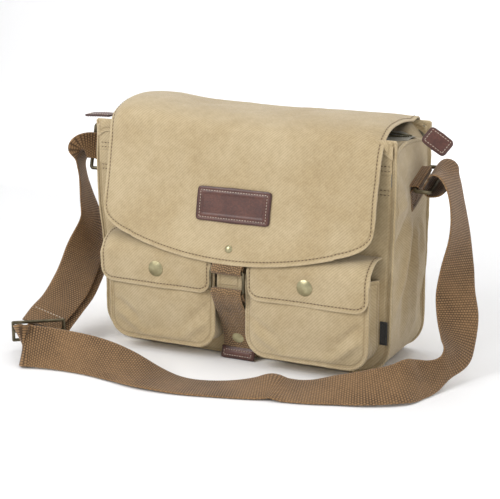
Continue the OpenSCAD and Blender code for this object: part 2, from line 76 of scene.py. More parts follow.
# ---------------------------------------------------------------- smooth noise, folds and lines
def mist(a, b, size, seed):
    """Smooth noise from -1 to 1 over two lengths, about one bump for each size."""
    grid = np.random.RandomState(seed).rand(64, 64)
    a, b = np.asarray(a) / size + 31.7, np.asarray(b) / size + 17.3
    i, j = np.floor(a).astype(int), np.floor(b).astype(int)
    u, v = a - i, b - j
    u, v = u * u * (3 - 2 * u), v * v * (3 - 2 * v)

    def at(di, dj):
        return grid[(i + di) % 64, (j + dj) % 64]

    near = at(0, 0) * (1 - u) + at(1, 0) * u
    far = at(0, 1) * (1 - u) + at(1, 1) * u
    return 2 * (near * (1 - v) + far * v) - 1


def crease(a, b, start, end, wide, deep):
    """A soft fold from start to end, fading at both ends; deep is its height, below 0 for a valley."""
    (p, q), (r, s) = start, end
    run = (r - p) ** 2 + (s - q) ** 2
    t = np.clip(((a - p) * (r - p) + (b - q) * (s - q)) / run, 0, 1)
    away = np.hypot(a - p - t * (r - p), b - q - t * (s - q))
    return deep * np.exp(-((away / wide) ** 2)) * (0.25 + 0.75 * np.sin(math.pi * t))


def ease(x, low, high):
    """Rise smoothly from 0 at low to 1 at high."""
    t = np.clip((x - low) / (high - low), 0, 1)
    return t * t * (3 - 2 * t)


def patch_of_calm(a, b, middle, size):
    """1 in an oval of half sizes size round middle, and 0 outside it."""
    away = np.hypot((a - middle[0]) / size[0], (b - middle[1]) / size[1])
    return 1 - ease(away, 0.8, 1.5)


def spline(points, step):
    """Points evenly spaced by step along a smooth line through the first three columns of points."""
    p = np.array(points, float)
    t = np.concatenate([[0], np.cumsum(np.linalg.norm(np.diff(p[:, :3], axis=0), axis=1) ** 0.5)])
    gap = np.diff(t)[:, None]
    slope = np.diff(p, axis=0) / gap
    m = np.vstack([slope[:1], (slope[:-1] * gap[1:] + slope[1:] * gap[:-1]) / (gap[1:] + gap[:-1]),
                   slope[-1:]])
    fine = np.linspace(0, t[-1], 60 * len(p))
    k = np.clip(np.searchsorted(t, fine, "right") - 1, 0, len(p) - 2)
    h = (t[k + 1] - t[k])[:, None]
    u = (fine - t[k])[:, None] / h
    line = (
        (2 * u**3 - 3 * u**2 + 1) * p[k] + (u**3 - 2 * u**2 + u) * h * m[k]
        + (3 * u**2 - 2 * u**3) * p[k + 1] + (u**3 - u**2) * h * m[k + 1]
    )
    return evenly(line, step)


def lengths(line):
    """Distance along a line of points, from its first point to each of them."""
    return np.concatenate([[0], np.cumsum(np.linalg.norm(np.diff(line[:, :3], axis=0), axis=1))])


def evenly(line, step):
    """The line again with points about step apart."""
    s = lengths(line)
    at = np.linspace(0, s[-1], max(3, int(round(s[-1] / step)) + 1))
    return np.stack([np.interp(at, s, line[:, c]) for c in range(line.shape[1])], axis=1)


def unit(v):
    """The same vectors at length 1."""
    return v / np.maximum(np.linalg.norm(v, axis=-1, keepdims=True), 1e-9)


# ---------------------------------------------------------------- shader tools
def put(tree, kind, inputs=None, **settings):
    """A node of that kind; an input is a socket to link or a value."""
    node = tree.nodes.new(kind)
    for key, value in settings.items():
        setattr(node, key, value)
    for key, value in (inputs or {}).items():
        if isinstance(value, bpy.types.NodeSocket):
            tree.links.new(value, node.inputs[key])
        else:
            node.inputs[key].default_value = value
    return node


def sums(tree, operation, a, b=0.0, c=None):
    """The result of a math node."""
    values = {0: a, 1: b}
    if c is not None:
        values[2] = c
    return put(tree, "ShaderNodeMath", values, operation=operation).outputs[0]


def blended(tree, factor, a, b, how="MIX"):
    """The result of a node that mixes two colours."""
    node = put(tree, "ShaderNodeMix", data_type="RGBA", blend_type=how)
    for key, value in ((0, factor), (6, a), (7, b)):
        if isinstance(value, bpy.types.NodeSocket):
            tree.links.new(value, node.inputs[key])
        else:
            node.inputs[key].default_value = value if key == 0 else (*value, 1)
    return node.outputs[2]


def ramp(tree, value, low, high, to_low=0.0, to_high=1.0):
    """A value that rises smoothly from to_low to to_high as it goes from low to high."""
    node = put(tree, "ShaderNodeMapRange", {0: value, 1: low, 2: high, 3: to_low, 4: to_high})
    node.interpolation_type = "SMOOTHSTEP"
    return node.outputs[0]


def new_group(name, inputs, outputs):
    """An empty node group, its input node and its output node."""
    group = bpy.data.node_groups.new(name, "ShaderNodeTree")
    for label, kind in inputs:
        group.interface.new_socket(label, in_out="INPUT", socket_type=kind)
    for label, kind in outputs:
        group.interface.new_socket(label, in_out="OUTPUT", socket_type=kind)
    return group, group.nodes.new("NodeGroupInput"), group.nodes.new("NodeGroupOutput")


def weave_group():
    """Threads of a cloth: Flat in metres, Pitch in metres, Lean 1 for twill or 0 for plain weave."""
    group, given, made = new_group(
        "weave",
        [("Flat", "NodeSocketVector"), ("Pitch", "NodeSocketFloat"), ("Lean", "NodeSocketFloat")],
        [("Height", "NodeSocketFloat"), ("Thread", "NodeSocketFloat")],
    )
    apart = put(group, "ShaderNodeSeparateXYZ", {0: given.outputs["Flat"]})
    a = sums(group, "DIVIDE", apart.outputs[0], given.outputs["Pitch"])
    b = sums(group, "DIVIDE", apart.outputs[1], given.outputs["Pitch"])
    warp = sums(group, "ABSOLUTE", sums(group, "SINE", sums(group, "MULTIPLY", a, math.pi)))
    weft = sums(group, "ABSOLUTE", sums(group, "SINE", sums(group, "MULTIPLY", b, math.pi)))
    step_a, step_b = sums(group, "FLOOR", a), sums(group, "FLOOR", b)
    turn = sums(group, "ADD", step_a, step_b)
    plain = sums(group, "FLOORED_MODULO", turn, 2.0)
    lean = sums(group, "FLOOR", sums(group, "DIVIDE", sums(group, "FLOORED_MODULO", turn, 4.0), 2.0))
    over = sums(group, "ADD", plain, sums(group, "MULTIPLY", sums(group, "SUBTRACT", lean, plain),
                                          given.outputs["Lean"]))
    top = sums(group, "MULTIPLY", warp, over)
    under = sums(group, "MULTIPLY", weft, sums(group, "SUBTRACT", 1.0, over))
    group.links.new(sums(group, "ADD", top, under), made.inputs["Height"])
    group.links.new(over, made.inputs["Thread"])
    return group


def fading_group():
    """Patches where a cloth has faded or a metal has dulled: Mask runs from 0 to 1."""
    group, given, made = new_group(
        "fading",
        [("Place", "NodeSocketVector"), ("Size", "NodeSocketFloat"), ("Detail", "NodeSocketFloat")],
        [("Mask", "NodeSocketFloat"), ("Speckle", "NodeSocketFloat")],
    )
    wide = put(group, "ShaderNodeTexNoise",
               {"Vector": given.outputs["Place"], "Detail": 4.0, "Roughness": 0.6,
                                             "Scale": given.outputs["Size"]})
    fine = put(group, "ShaderNodeTexNoise",
               {"Vector": given.outputs["Place"], "Detail": 3.0, "Roughness": 0.7,
                                             "Scale": given.outputs["Detail"]})
    group.links.new(ramp(group, wide.outputs[0], 0.32, 0.68), made.inputs["Mask"])
    group.links.new(ramp(group, fine.outputs[0], 0.3, 0.7), made.inputs["Speckle"])
    return group


def rim_group():
    """Wear of a cloth's edge and the groove of its stitch line: Rim is the way to the edge in mm."""
    group, given, made = new_group(
        "rim",
        [("Rim", "NodeSocketFloat"), ("Line", "NodeSocketFloat"), ("Place", "NodeSocketVector")],
        [("Worn", "NodeSocketFloat"), ("Groove", "NodeSocketFloat")],
    )
    rough = put(group, "ShaderNodeTexNoise",
                {"Vector": given.outputs["Place"], "Scale": 160.0, "Detail": 3.0})
    worn = ramp(group, given.outputs["Rim"], 0.0, 2.4, 1.0, 0.0)
    worn = sums(group, "MULTIPLY", worn, ramp(group, rough.outputs[0], 0.25, 0.6, 0.45, 1.0))
    away = sums(group, "ABSOLUTE", sums(group, "SUBTRACT", given.outputs["Rim"], given.outputs["Line"]))
    group.links.new(worn, made.inputs["Worn"])
    group.links.new(ramp(group, away, 0.3, 1.5, 1.0, 0.0), made.inputs["Groove"])
    return group


WEAVE, FADING, RIM = weave_group(), fading_group(), rim_group()


def group_node(tree, group, inputs):
    """A node that uses a group, with its inputs set or linked by name."""
    node = tree.nodes.new("ShaderNodeGroup")
    node.node_tree = group
    for key, value in inputs.items():
        if isinstance(value, bpy.types.NodeSocket):
            tree.links.new(value, node.inputs[key])
        else:
            node.inputs[key].default_value = value
    return node


def new_material(name):
    """A material, its node tree and its surface shader."""
    material = bpy.data.materials.new(name)
    material.use_nodes = True
    tree = material.node_tree
    return material, tree, tree.nodes["Principled BSDF"]


def coordinates(tree):
    """The piece's flat cloth coordinates in metres and its place in metres."""
    flat = put(tree, "ShaderNodeUVMap", uv_map="flat").outputs[0]
    place = put(tree, "ShaderNodeTexCoord").outputs["Object"]
    return flat, place


def bump(tree, surface, height, strength, distance, before=None):
    """Bumps on a surface, over those of an earlier bump node if there is one."""
    inputs = {"Height": height, "Strength": strength, "Distance": distance}
    if before is not None:
        inputs["Normal"] = before
    node = put(tree, "ShaderNodeBump", inputs)
    tree.links.new(node.outputs[0], surface.inputs["Normal"])
    return node.outputs[0]


def cloth_material(name, base, light, dark, pitch, lean, rough=0.9, soft=0.25, line=4.0, relief=0.55):
    """Woven cloth, with lighter and darker places where it has faded, and painted shade along the groove of
    its stitch line.
    """
    material, tree, surface = new_material(name)
    flat, place = coordinates(tree)
    weave = group_node(tree, WEAVE, {"Flat": flat, "Pitch": pitch, "Lean": lean})
    fading = group_node(tree, FADING, {"Place": place, "Size": 13.0, "Detail": 120.0})
    slubs = put(tree, "ShaderNodeTexNoise", {"Scale": 420.0, "Detail": 3.0, "Vector": place})
    way = put(tree, "ShaderNodeAttribute", attribute_name="rim").outputs["Fac"]
    rim = group_node(tree, RIM, {"Rim": way, "Line": line, "Place": place})
    colour = blended(tree, fading.outputs["Mask"], base, light)
    colour = blended(tree, sums(tree, "MULTIPLY", fading.outputs["Speckle"], 0.24), colour, dark)
    colour = blended(tree, sums(tree, "MULTIPLY", weave.outputs["Thread"], 0.32), colour, dark)
    colour = blended(tree, ramp(tree, slubs.outputs[0], 0.35, 0.75, 0.0, 0.3), colour, light)
    colour = blended(tree, sums(tree, "MULTIPLY", rim.outputs["Worn"], 0.55), colour, light)
    # painted shade: the colour is darkened along the groove of the stitch line, where shade falls
    colour = blended(tree, sums(tree, "MULTIPLY", rim.outputs["Groove"], 0.42), colour, dark)
    tree.links.new(colour, surface.inputs["Base Color"])
    surface.inputs["Roughness"].default_value = rough
    surface.inputs["Sheen Weight"].default_value = soft
    surface.inputs["Sheen Roughness"].default_value = 0.6
    surface.inputs["Specular IOR Level"].default_value = 0.25
    height = sums(tree, "ADD", sums(tree, "MULTIPLY", weave.outputs["Height"], 0.8),
                  sums(tree, "MULTIPLY", slubs.outputs[0], 0.7))
    first = bump(tree, surface, height, relief, 0.0004)
    bump(tree, surface, sums(tree, "SUBTRACT", 0.0, rim.outputs["Groove"]), 0.6, 0.0006, first)
    return material


def webbing_material(name, base, dark, pitch, knots, lean):
    """Ribbed webbing: ribs cross it every pitch, each a row of knots; lean makes the rows chevrons."""
    material, tree, surface = new_material(name)
    flat, place = coordinates(tree)
    apart = put(tree, "ShaderNodeSeparateXYZ", {0: flat})
    across = sums(tree, "DIVIDE", apart.outputs[0], knots)
    bend = sums(tree, "PINGPONG", sums(tree, "ADD", apart.outputs[0], 0.5), 0.006)
    along = sums(tree, "DIVIDE", sums(tree, "ADD", apart.outputs[1], sums(tree, "MULTIPLY", bend, lean)),
                 pitch)
    rib = sums(tree, "ABSOLUTE", sums(tree, "SINE", sums(tree, "MULTIPLY", along, math.pi)))
    shift = sums(tree, "MULTIPLY", sums(tree, "FLOORED_MODULO", sums(tree, "FLOOR", along), 2.0), 0.5)
    knot = sums(tree, "ABSOLUTE",
                sums(tree, "SINE", sums(tree, "MULTIPLY", sums(tree, "ADD", across, shift), math.pi)))
    height = sums(tree, "MULTIPLY", rib, sums(tree, "ADD", sums(tree, "MULTIPLY", knot, 0.8), 0.2))
    fading = group_node(tree, FADING, {"Place": place, "Size": 16.0, "Detail": 260.0})
    way = put(tree, "ShaderNodeAttribute", attribute_name="rim").outputs["Fac"]
    rim = group_node(tree, RIM, {"Rim": way, "Line": 30.0, "Place": place})
    # painted shade: the colour goes dark in the low places between ribs and knots
    colour = blended(tree, ramp(tree, height, 0.25, 0.7), dark, base)
    lighter = tuple(min(1, 1.35 * c) for c in base)
    colour = blended(tree, sums(tree, "MULTIPLY", fading.outputs["Mask"], 0.35), colour, lighter)
    colour = blended(tree, sums(tree, "MULTIPLY", fading.outputs["Speckle"], 0.25), colour, dark)
    colour = blended(tree, sums(tree, "MULTIPLY", rim.outputs["Worn"], 0.4), colour, lighter)
    tree.links.new(colour, surface.inputs["Base Color"])
    surface.inputs["Roughness"].default_value = 0.85
    surface.inputs["Sheen Weight"].default_value = 0.2
    surface.inputs["Specular IOR Level"].default_value = 0.3
    bump(tree, surface, height, 0.9, 0.0007)
    return material


def leather_material(name, base, dark, light):
    """Grained leather, darker and lighter in places."""
    material, tree, surface = new_material(name)
    place = coordinates(tree)[1]
    fading = group_node(tree, FADING, {"Place": place, "Size": 40.0, "Detail": 420.0})
    grain = put(tree, "ShaderNodeTexVoronoi", {"Vector": place, "Scale": 1500.0}, feature="F1")
    pores = put(tree, "ShaderNodeTexNoise", {"Vector": place, "Scale": 700.0, "Detail": 4.0})
    way = put(tree, "ShaderNodeAttribute", attribute_name="rim").outputs["Fac"]
    rim = group_node(tree, RIM, {"Rim": way, "Line": 3.0, "Place": place})
    colour = blended(tree, fading.outputs["Mask"], base, light)
    colour = blended(tree, sums(tree, "MULTIPLY", fading.outputs["Speckle"], 0.5), colour, dark)
    colour = blended(tree, sums(tree, "MULTIPLY", rim.outputs["Worn"], 0.6), colour, dark)
    tree.links.new(colour, surface.inputs["Base Color"])
    rough = ramp(tree, pores.outputs[0], 0.3, 0.7, 0.32, 0.52)
    tree.links.new(rough, surface.inputs["Roughness"])
    surface.inputs["Coat Weight"].default_value = 0.15
    surface.inputs["Coat Roughness"].default_value = 0.28
    height = sums(tree, "ADD", grain.outputs["Distance"], pores.outputs[0])
    first = bump(tree, surface, height, 0.35, 0.0003)
    bump(tree, surface, sums(tree, "SUBTRACT", 0.0, rim.outputs["Groove"]), 0.5, 0.0006, first)
    return material


def metal_material(name, base, dull, rough):
    """Metal with dull places and specks."""
    material, tree, surface = new_material(name)
    place = coordinates(tree)[1]
    fading = group_node(tree, FADING, {"Place": place, "Size": 90.0, "Detail": 700.0})
    colour = blended(tree, fading.outputs["Mask"], base, dull)
    colour = blended(tree, sums(tree, "MULTIPLY", fading.outputs["Speckle"], 0.4), colour, dull)
    tree.links.new(colour, surface.inputs["Base Color"])
    surface.inputs["Metallic"].default_value = 1.0
    tree.links.new(ramp(tree, fading.outputs["Mask"], 0.0, 1.0, rough, rough + 0.2),
                   surface.inputs["Roughness"])
    bump(tree, surface, fading.outputs["Speckle"], 0.12, 0.0002)
    return material


def thread_material(name, base):
    """Twisted sewing thread."""
    material, tree, surface = new_material(name)
    place = coordinates(tree)[1]
    twist = put(tree, "ShaderNodeTexWave", {"Vector": place, "Scale": 900.0, "Distortion": 1.0})
    darker = tuple(0.55 * c for c in base)
    tree.links.new(blended(tree, sums(tree, "MULTIPLY", twist.outputs["Fac"], 0.6), base, darker),
                   surface.inputs["Base Color"])
    surface.inputs["Roughness"].default_value = 0.7
    bump(tree, surface, twist.outputs["Fac"], 0.3, 0.0002)
    return material


CANVAS = cloth_material("washed_canvas", (0.47, 0.355, 0.192), (0.58, 0.465, 0.285), (0.265, 0.185, 0.088),
                        0.00092, 1.0)
LINING = cloth_material("grey_lining", (0.20, 0.18, 0.13), (0.27, 0.25, 0.19), (0.10, 0.09, 0.065), 0.0007,
                        0.0)
TAPE = cloth_material("zip_tape", (0.24, 0.22, 0.17), (0.31, 0.29, 0.23), (0.13, 0.115, 0.085), 0.0012,
                      1.0, line=30.0)
LABEL = cloth_material("black_label", (0.012, 0.012, 0.013), (0.03, 0.03, 0.03), (0.004, 0.004, 0.004),
                       0.0005, 0.0,
                       rough=0.6, line=1.6)
STRAP = webbing_material("strap_webbing", (0.29, 0.168, 0.076), (0.058, 0.031, 0.014), 0.0027, 0.0031, 0.0)
CHEVRON = webbing_material("closure_webbing", (0.31, 0.190, 0.092), (0.022, 0.013, 0.007), 0.0025, 0.0029,
                           0.3)
LEATHER = leather_material("brown_leather", (0.078, 0.022, 0.014), (0.024, 0.008, 0.006),
                           (0.130, 0.042, 0.026))
BRASS = metal_material("antique_brass", (0.47, 0.43, 0.26), (0.34, 0.30, 0.175), 0.33)
# painted shade: the same brass made darker for the rings, glide and sliders, which sit in shade
SHADED_BRASS = metal_material("dark_brass", (0.21, 0.18, 0.115), (0.10, 0.085, 0.055), 0.34)
TEETH = metal_material("zip_metal", (0.34, 0.31, 0.20), (0.14, 0.125, 0.08), 0.36)
BROWN_THREAD = thread_material("brown_thread", (0.145, 0.092, 0.048))
PALE_THREAD = thread_material("pale_thread", (0.62, 0.52, 0.42))

# thread stitches: from one to the next, the length of each, and the thread's radius
SEAM_STITCH = (4.2 * MM, 2.7 * MM, 0.43 * MM, BROWN_THREAD)
FINE_STITCH = (4.2 * MM, 2.7 * MM, 0.42 * MM, BROWN_THREAD)


# ---------------------------------------------------------------- mesh tools
def piece(name, points, faces, materials, flat=None, rim=None, which=None):
    """A smooth mesh object; flat is each point's place in the flat cloth, rim its way to the edge in mm."""
    mesh = bpy.data.meshes.new(name)
    mesh.from_pydata([tuple(p) for p in points], [], [tuple(int(i) for i in f) for f in faces])
    for material in materials:
        mesh.materials.append(material)
    mesh.polygons.foreach_set("use_smooth", [True] * len(mesh.polygons))
    if which is not None:
        mesh.polygons.foreach_set("material_index", np.array(which, np.int32))
    corner = np.zeros(len(mesh.loops), np.int32)
    mesh.loops.foreach_get("vertex_index", corner)
    flat = np.asarray(points)[:, :2] if flat is None else np.asarray(flat)
    mesh.uv_layers.new(name="flat").data.foreach_set("uv", flat[corner].astype(np.float32).ravel())
    way = np.full(len(points), 30.0) if rim is None else np.asarray(rim)
    mesh.attributes.new("rim", "FLOAT", "POINT").data.foreach_set("value", way.astype(np.float32))
    mesh.validate()
    made = bpy.data.objects.new(name, mesh)
    bpy.context.scene.collection.objects.link(made)
    return made


def grid_faces(rows, cols, start=0, turned=False, ring=False):
    """Quads over a grid of points; ring joins the last column to the first."""
    i, j = np.meshgrid(np.arange(rows - 1), np.arange(cols if ring else cols - 1), indexing="ij")
    a, b = start + i * cols + j, start + i * cols + (j + 1) % cols
    c, d = start + (i + 1) * cols + (j + 1) % cols, start + (i + 1) * cols + j
    quads = np.stack([a, d, c, b] if turned else [a, b, c, d], axis=-1)
    return quads.reshape(-1, 4)


def way_to_edge(flat, border):
    """Each flat point's distance to the border's points, in mm, no more than 30."""
    points, edge = flat.reshape(-1, 2), border.reshape(-1, 2)
    way = np.full(len(points), 0.03)
    for part in np.array_split(np.arange(len(edge)), max(1, len(edge) // 60)):
        away = np.linalg.norm(points[:, None] - edge[None, part], axis=2)
        way = np.minimum(way, away.min(axis=1))
    return way / MM


def border_loop(rows, cols):
    """Indices round the edge of a grid of points."""
    top = [j for j in range(cols)]
    right = [i * cols + cols - 1 for i in range(1, rows)]
    low = [(rows - 1) * cols + j for j in range(cols - 2, -1, -1)]
    left = [i * cols for i in range(rows - 2, 0, -1)]
    return np.array(top + right + low + left)


def normals_of(points):
    """Normals of a grid of points."""
    down = np.gradient(points, axis=0)
    across = np.gradient(points, axis=1)
    return unit(np.cross(across, down))


def cloth(name, points, flat, thick, outside, front, back=None, rims=True):
    """A closed piece of cloth: points is a grid of its outer side, which faces the point outside."""
    rows, cols = points.shape[:2]
    normal = normals_of(points)
    middle = points.reshape(-1, 3).mean(axis=0)
    turned = float((normal * (np.array(outside) - middle)).sum()) < 0
    if turned:
        normal = -normal
    inner = points - normal * thick
    loop = border_loop(rows, cols)
    flat_points, flat_inner = points.reshape(-1, 3), inner.reshape(-1, 3)
    flat_normal = normal.reshape(-1, 3)
    i, j = loop // cols, loop % cols
    nearest = np.clip(i, 1, rows - 2) * cols + np.clip(j, 1, cols - 2)
    out = flat_points[loop] - flat_points[nearest]
    out = unit(out - (out * flat_normal[loop]).sum(axis=1, keepdims=True) * flat_normal[loop])
    centre = (flat_points[loop] + flat_inner[loop]) / 2
    bands = [
        centre + thick / 2 * (math.cos(turn) * flat_normal[loop] + math.sin(turn) * out)
        for turn in (math.pi / 4, math.pi / 2, 3 * math.pi / 4)
    ]
    count, around = rows * cols, len(loop)
    everything = np.vstack([flat_points, flat_inner, *bands])
    faces = [grid_faces(rows, cols, 0, turned), grid_faces(rows, cols, count, not turned)]
    rings = [loop] + [2 * count + k * around + np.arange(around) for k in range(3)] + [count + loop]
    for first, second in zip(rings[:-1], rings[1:]):
        a, b = first, np.roll(first, -1)
        c, d = np.roll(second, -1), second
        faces.append(np.stack([a, b, c, d] if turned else [a, d, c, b], axis=1))
    amounts = [len(f) for f in faces]
    which = np.repeat([0, 1 if back else 0] + [0] * 4, amounts)
    flat_all = np.vstack([flat.reshape(-1, 2)] * 2 + [flat.reshape(-1, 2)[loop]] * 3)
    way = way_to_edge(flat, flat.reshape(-1, 2)[loop]) if rims else np.full(count, 30.0)
    way_all = np.concatenate([way, way, *([way[loop]] * 3)])
    return piece(name, everything, np.vstack(faces), [front, back] if back else [front], flat_all, way_all,
                 which)


def tube(name, line, radius, sides, material):
    """A round cord along a line of points, with rounded ends; radius is a number or one for each point."""
    line = np.asarray(line, float)
    radius = np.broadcast_to(np.asarray(radius, float), (len(line),)).copy()
    along = unit(np.gradient(line, axis=0))
    side = np.cross(along, [0.0, 1.0, 0.0])
    weak = np.linalg.norm(side, axis=1) < 0.3
    side[weak] = np.cross(along[weak], [1.0, 0.0, 0.0])
    side = unit(side)
    other = np.cross(along, side)
    turn = np.linspace(0, 2 * math.pi, sides, endpoint=False)
    ring = side[:, None] * np.cos(turn)[None, :, None] + other[:, None] * np.sin(turn)[None, :, None]
    points = line[:, None] + ring * radius[:, None, None]
    s = lengths(line)
    flat = np.stack([np.broadcast_to(turn * radius.mean(), (len(line), sides)),
                     np.broadcast_to(s[:, None], (len(line), sides))], axis=-1)
    faces = [tuple(f) for f in grid_faces(len(line), sides, 0, False, True)]
    points, flat = points.reshape(-1, 3), flat.reshape(-1, 2)
    for end, order in ((0, 1), (len(line) - 1, -1)):
        tip = line[end] - order * along[end] * radius[end] * 0.5
        points, flat = np.vstack([points, tip]), np.vstack([flat, flat[end * sides]])
        for k in range(sides):
            a, b = end * sides + k, end * sides + (k + 1) % sides
            faces.append((a, b, len(points) - 1) if order < 0 else (b, a, len(points) - 1))
    return piece(name, points, faces, [material], flat)


def ribbon(name, centre, edge, thick, material, ribs=0.0, pitch=0.0026, columns=10, cup=0.0):
    """Webbing along centre; edge is the way to one side and half the width. Ribs swell it at each pitch."""
    along = unit(np.gradient(centre, axis=0))
    half = np.linalg.norm(edge, axis=1, keepdims=True)
    face = unit(np.cross(along, edge))
    s = lengths(centre)
    swell = ribs * (np.sin(math.pi * s / pitch) ** 2 - 0.5)[:, None]
    across = np.cos(np.linspace(0, math.pi, columns))
    top = [(a, 1.0 if abs(a) < 0.97 else 0.0) for a in across]
    section = top + [(a, -1.0) for a in across[::-1][1:-1]]
    points, flat, way = [], [], []
    for a, h in section:
        tooth = 1 + (0.35 * swell / half if abs(a) > 0.97 else 0.0)
        lift = h * (thick / 2 * (1 - 0.35 * a**6)) + (np.sign(h) * swell if h else 0.0)
        points.append(centre + edge * a * tooth + face * (lift + cup * (a * a - 0.5) * half))
        flat.append(np.stack([np.broadcast_to(a * half[:, 0], s.shape), s], axis=-1))
        way.append((1 - abs(a)) * half[:, 0] / MM)
    sides = len(section)
    points, flat = np.stack(points, 1), np.stack(flat, 1)
    way = np.stack(way, 1).ravel()
    faces = [tuple(f) for f in grid_faces(len(centre), sides, 0, True, True)]
    last = (len(centre) - 1) * sides
    faces += [tuple(range(sides)), tuple(last + k for k in range(sides - 1, -1, -1))]
    return piece(name, points.reshape(-1, 3), faces, [material], flat.reshape(-1, 2), way)


def stitches(name, runs, pitch, long, radius, material):
    """One mesh of thread stitches; runs is a list of (line of points, their normals)."""
    rings = [(-1.0, 0.25), (-0.7, 0.85), (0.0, 1.0), (0.7, 0.85), (1.0, 0.25)]
    turn = np.linspace(0, 2 * math.pi, 6, endpoint=False)
    points, faces = [], []
    for line, normal in runs:
        line, normal = np.asarray(line, float), np.asarray(normal, float)
        s = lengths(line)
        if s[-1] < pitch:
            continue
        for middle in np.arange(pitch / 2, s[-1], pitch):
            at = [np.array([np.interp(t, s, line[:, c]) for c in range(3)])
                  for t in (middle - long / 2, middle, middle + long / 2)]
            up = unit(np.array([np.interp(middle, s, normal[:, c]) for c in range(3)]))
            run = unit(at[2] - at[0])
            side = unit(np.cross(run, up))
            base = len(points)
            for t, share in rings:
                spot = at[1] + (at[2] - at[0]) * t / 2 + up * radius * (0.5 - 0.9 * abs(t) ** 3)
                for a in turn:
                    points.append(spot + share * radius * (math.cos(a) * side + math.sin(a) * up))
            faces += [tuple(base + f) for f in grid_faces(5, 6, 0, False, True)]
            faces += [tuple(base + k for k in range(5, -1, -1)), tuple(base + 24 + k for k in range(6))]
    return piece(name, np.array(points), faces, [material])


def on_surface(surface, path):
    """Points and normals of surface(a, b) along a path of flat points."""
    path = evenly(np.array([(a, b, 0.0) for a, b in path], float), 1.5 * MM)[:, :2]
    a, b = path[:, 0], path[:, 1]
    tiny = 0.4 * MM
    here = surface(a, b)
    normal = unit(np.cross(surface(a + tiny, b) - here, surface(a, b + tiny) - here))
    return here, normal


def seam(surface, path, outside, lift=0.0):
    """A run for stitches() on a surface, with its normals on the side of the point outside."""
    here, normal = on_surface(surface, path)
    if float((normal * (np.array(outside) - here)).sum()) < 0:
        normal = -normal
    return here + normal * lift, normal


def bead_ends(count):
    """From 0 to 1 with points closer together near the ends."""
    t = np.linspace(0, 1, count)
    return 0.55 * t + 0.45 * (1 - np.cos(math.pi * t)) / 2


# ---------------------------------------------------------------- camera
def make_camera():
    """The camera, in front of the bag and to its right."""
    spot, azimuth, elevation = (0.6581, -1.3675, 0.4990), math.radians(26.13), math.radians(14.24)
    look = Vector((-math.sin(azimuth) * math.cos(elevation), math.cos(azimuth) * math.cos(elevation),
                   -math.sin(elevation)))
    data = bpy.data.cameras.new("camera")
    data.lens, data.sensor_width = 95.85, 36.0
    camera = bpy.data.objects.new("camera", data)
    camera.location = spot
    camera.rotation_euler = look.to_track_quat("-Z", "Y").to_euler()
    bpy.context.scene.collection.objects.link(camera)
    bpy.context.scene.camera = camera


make_camera()

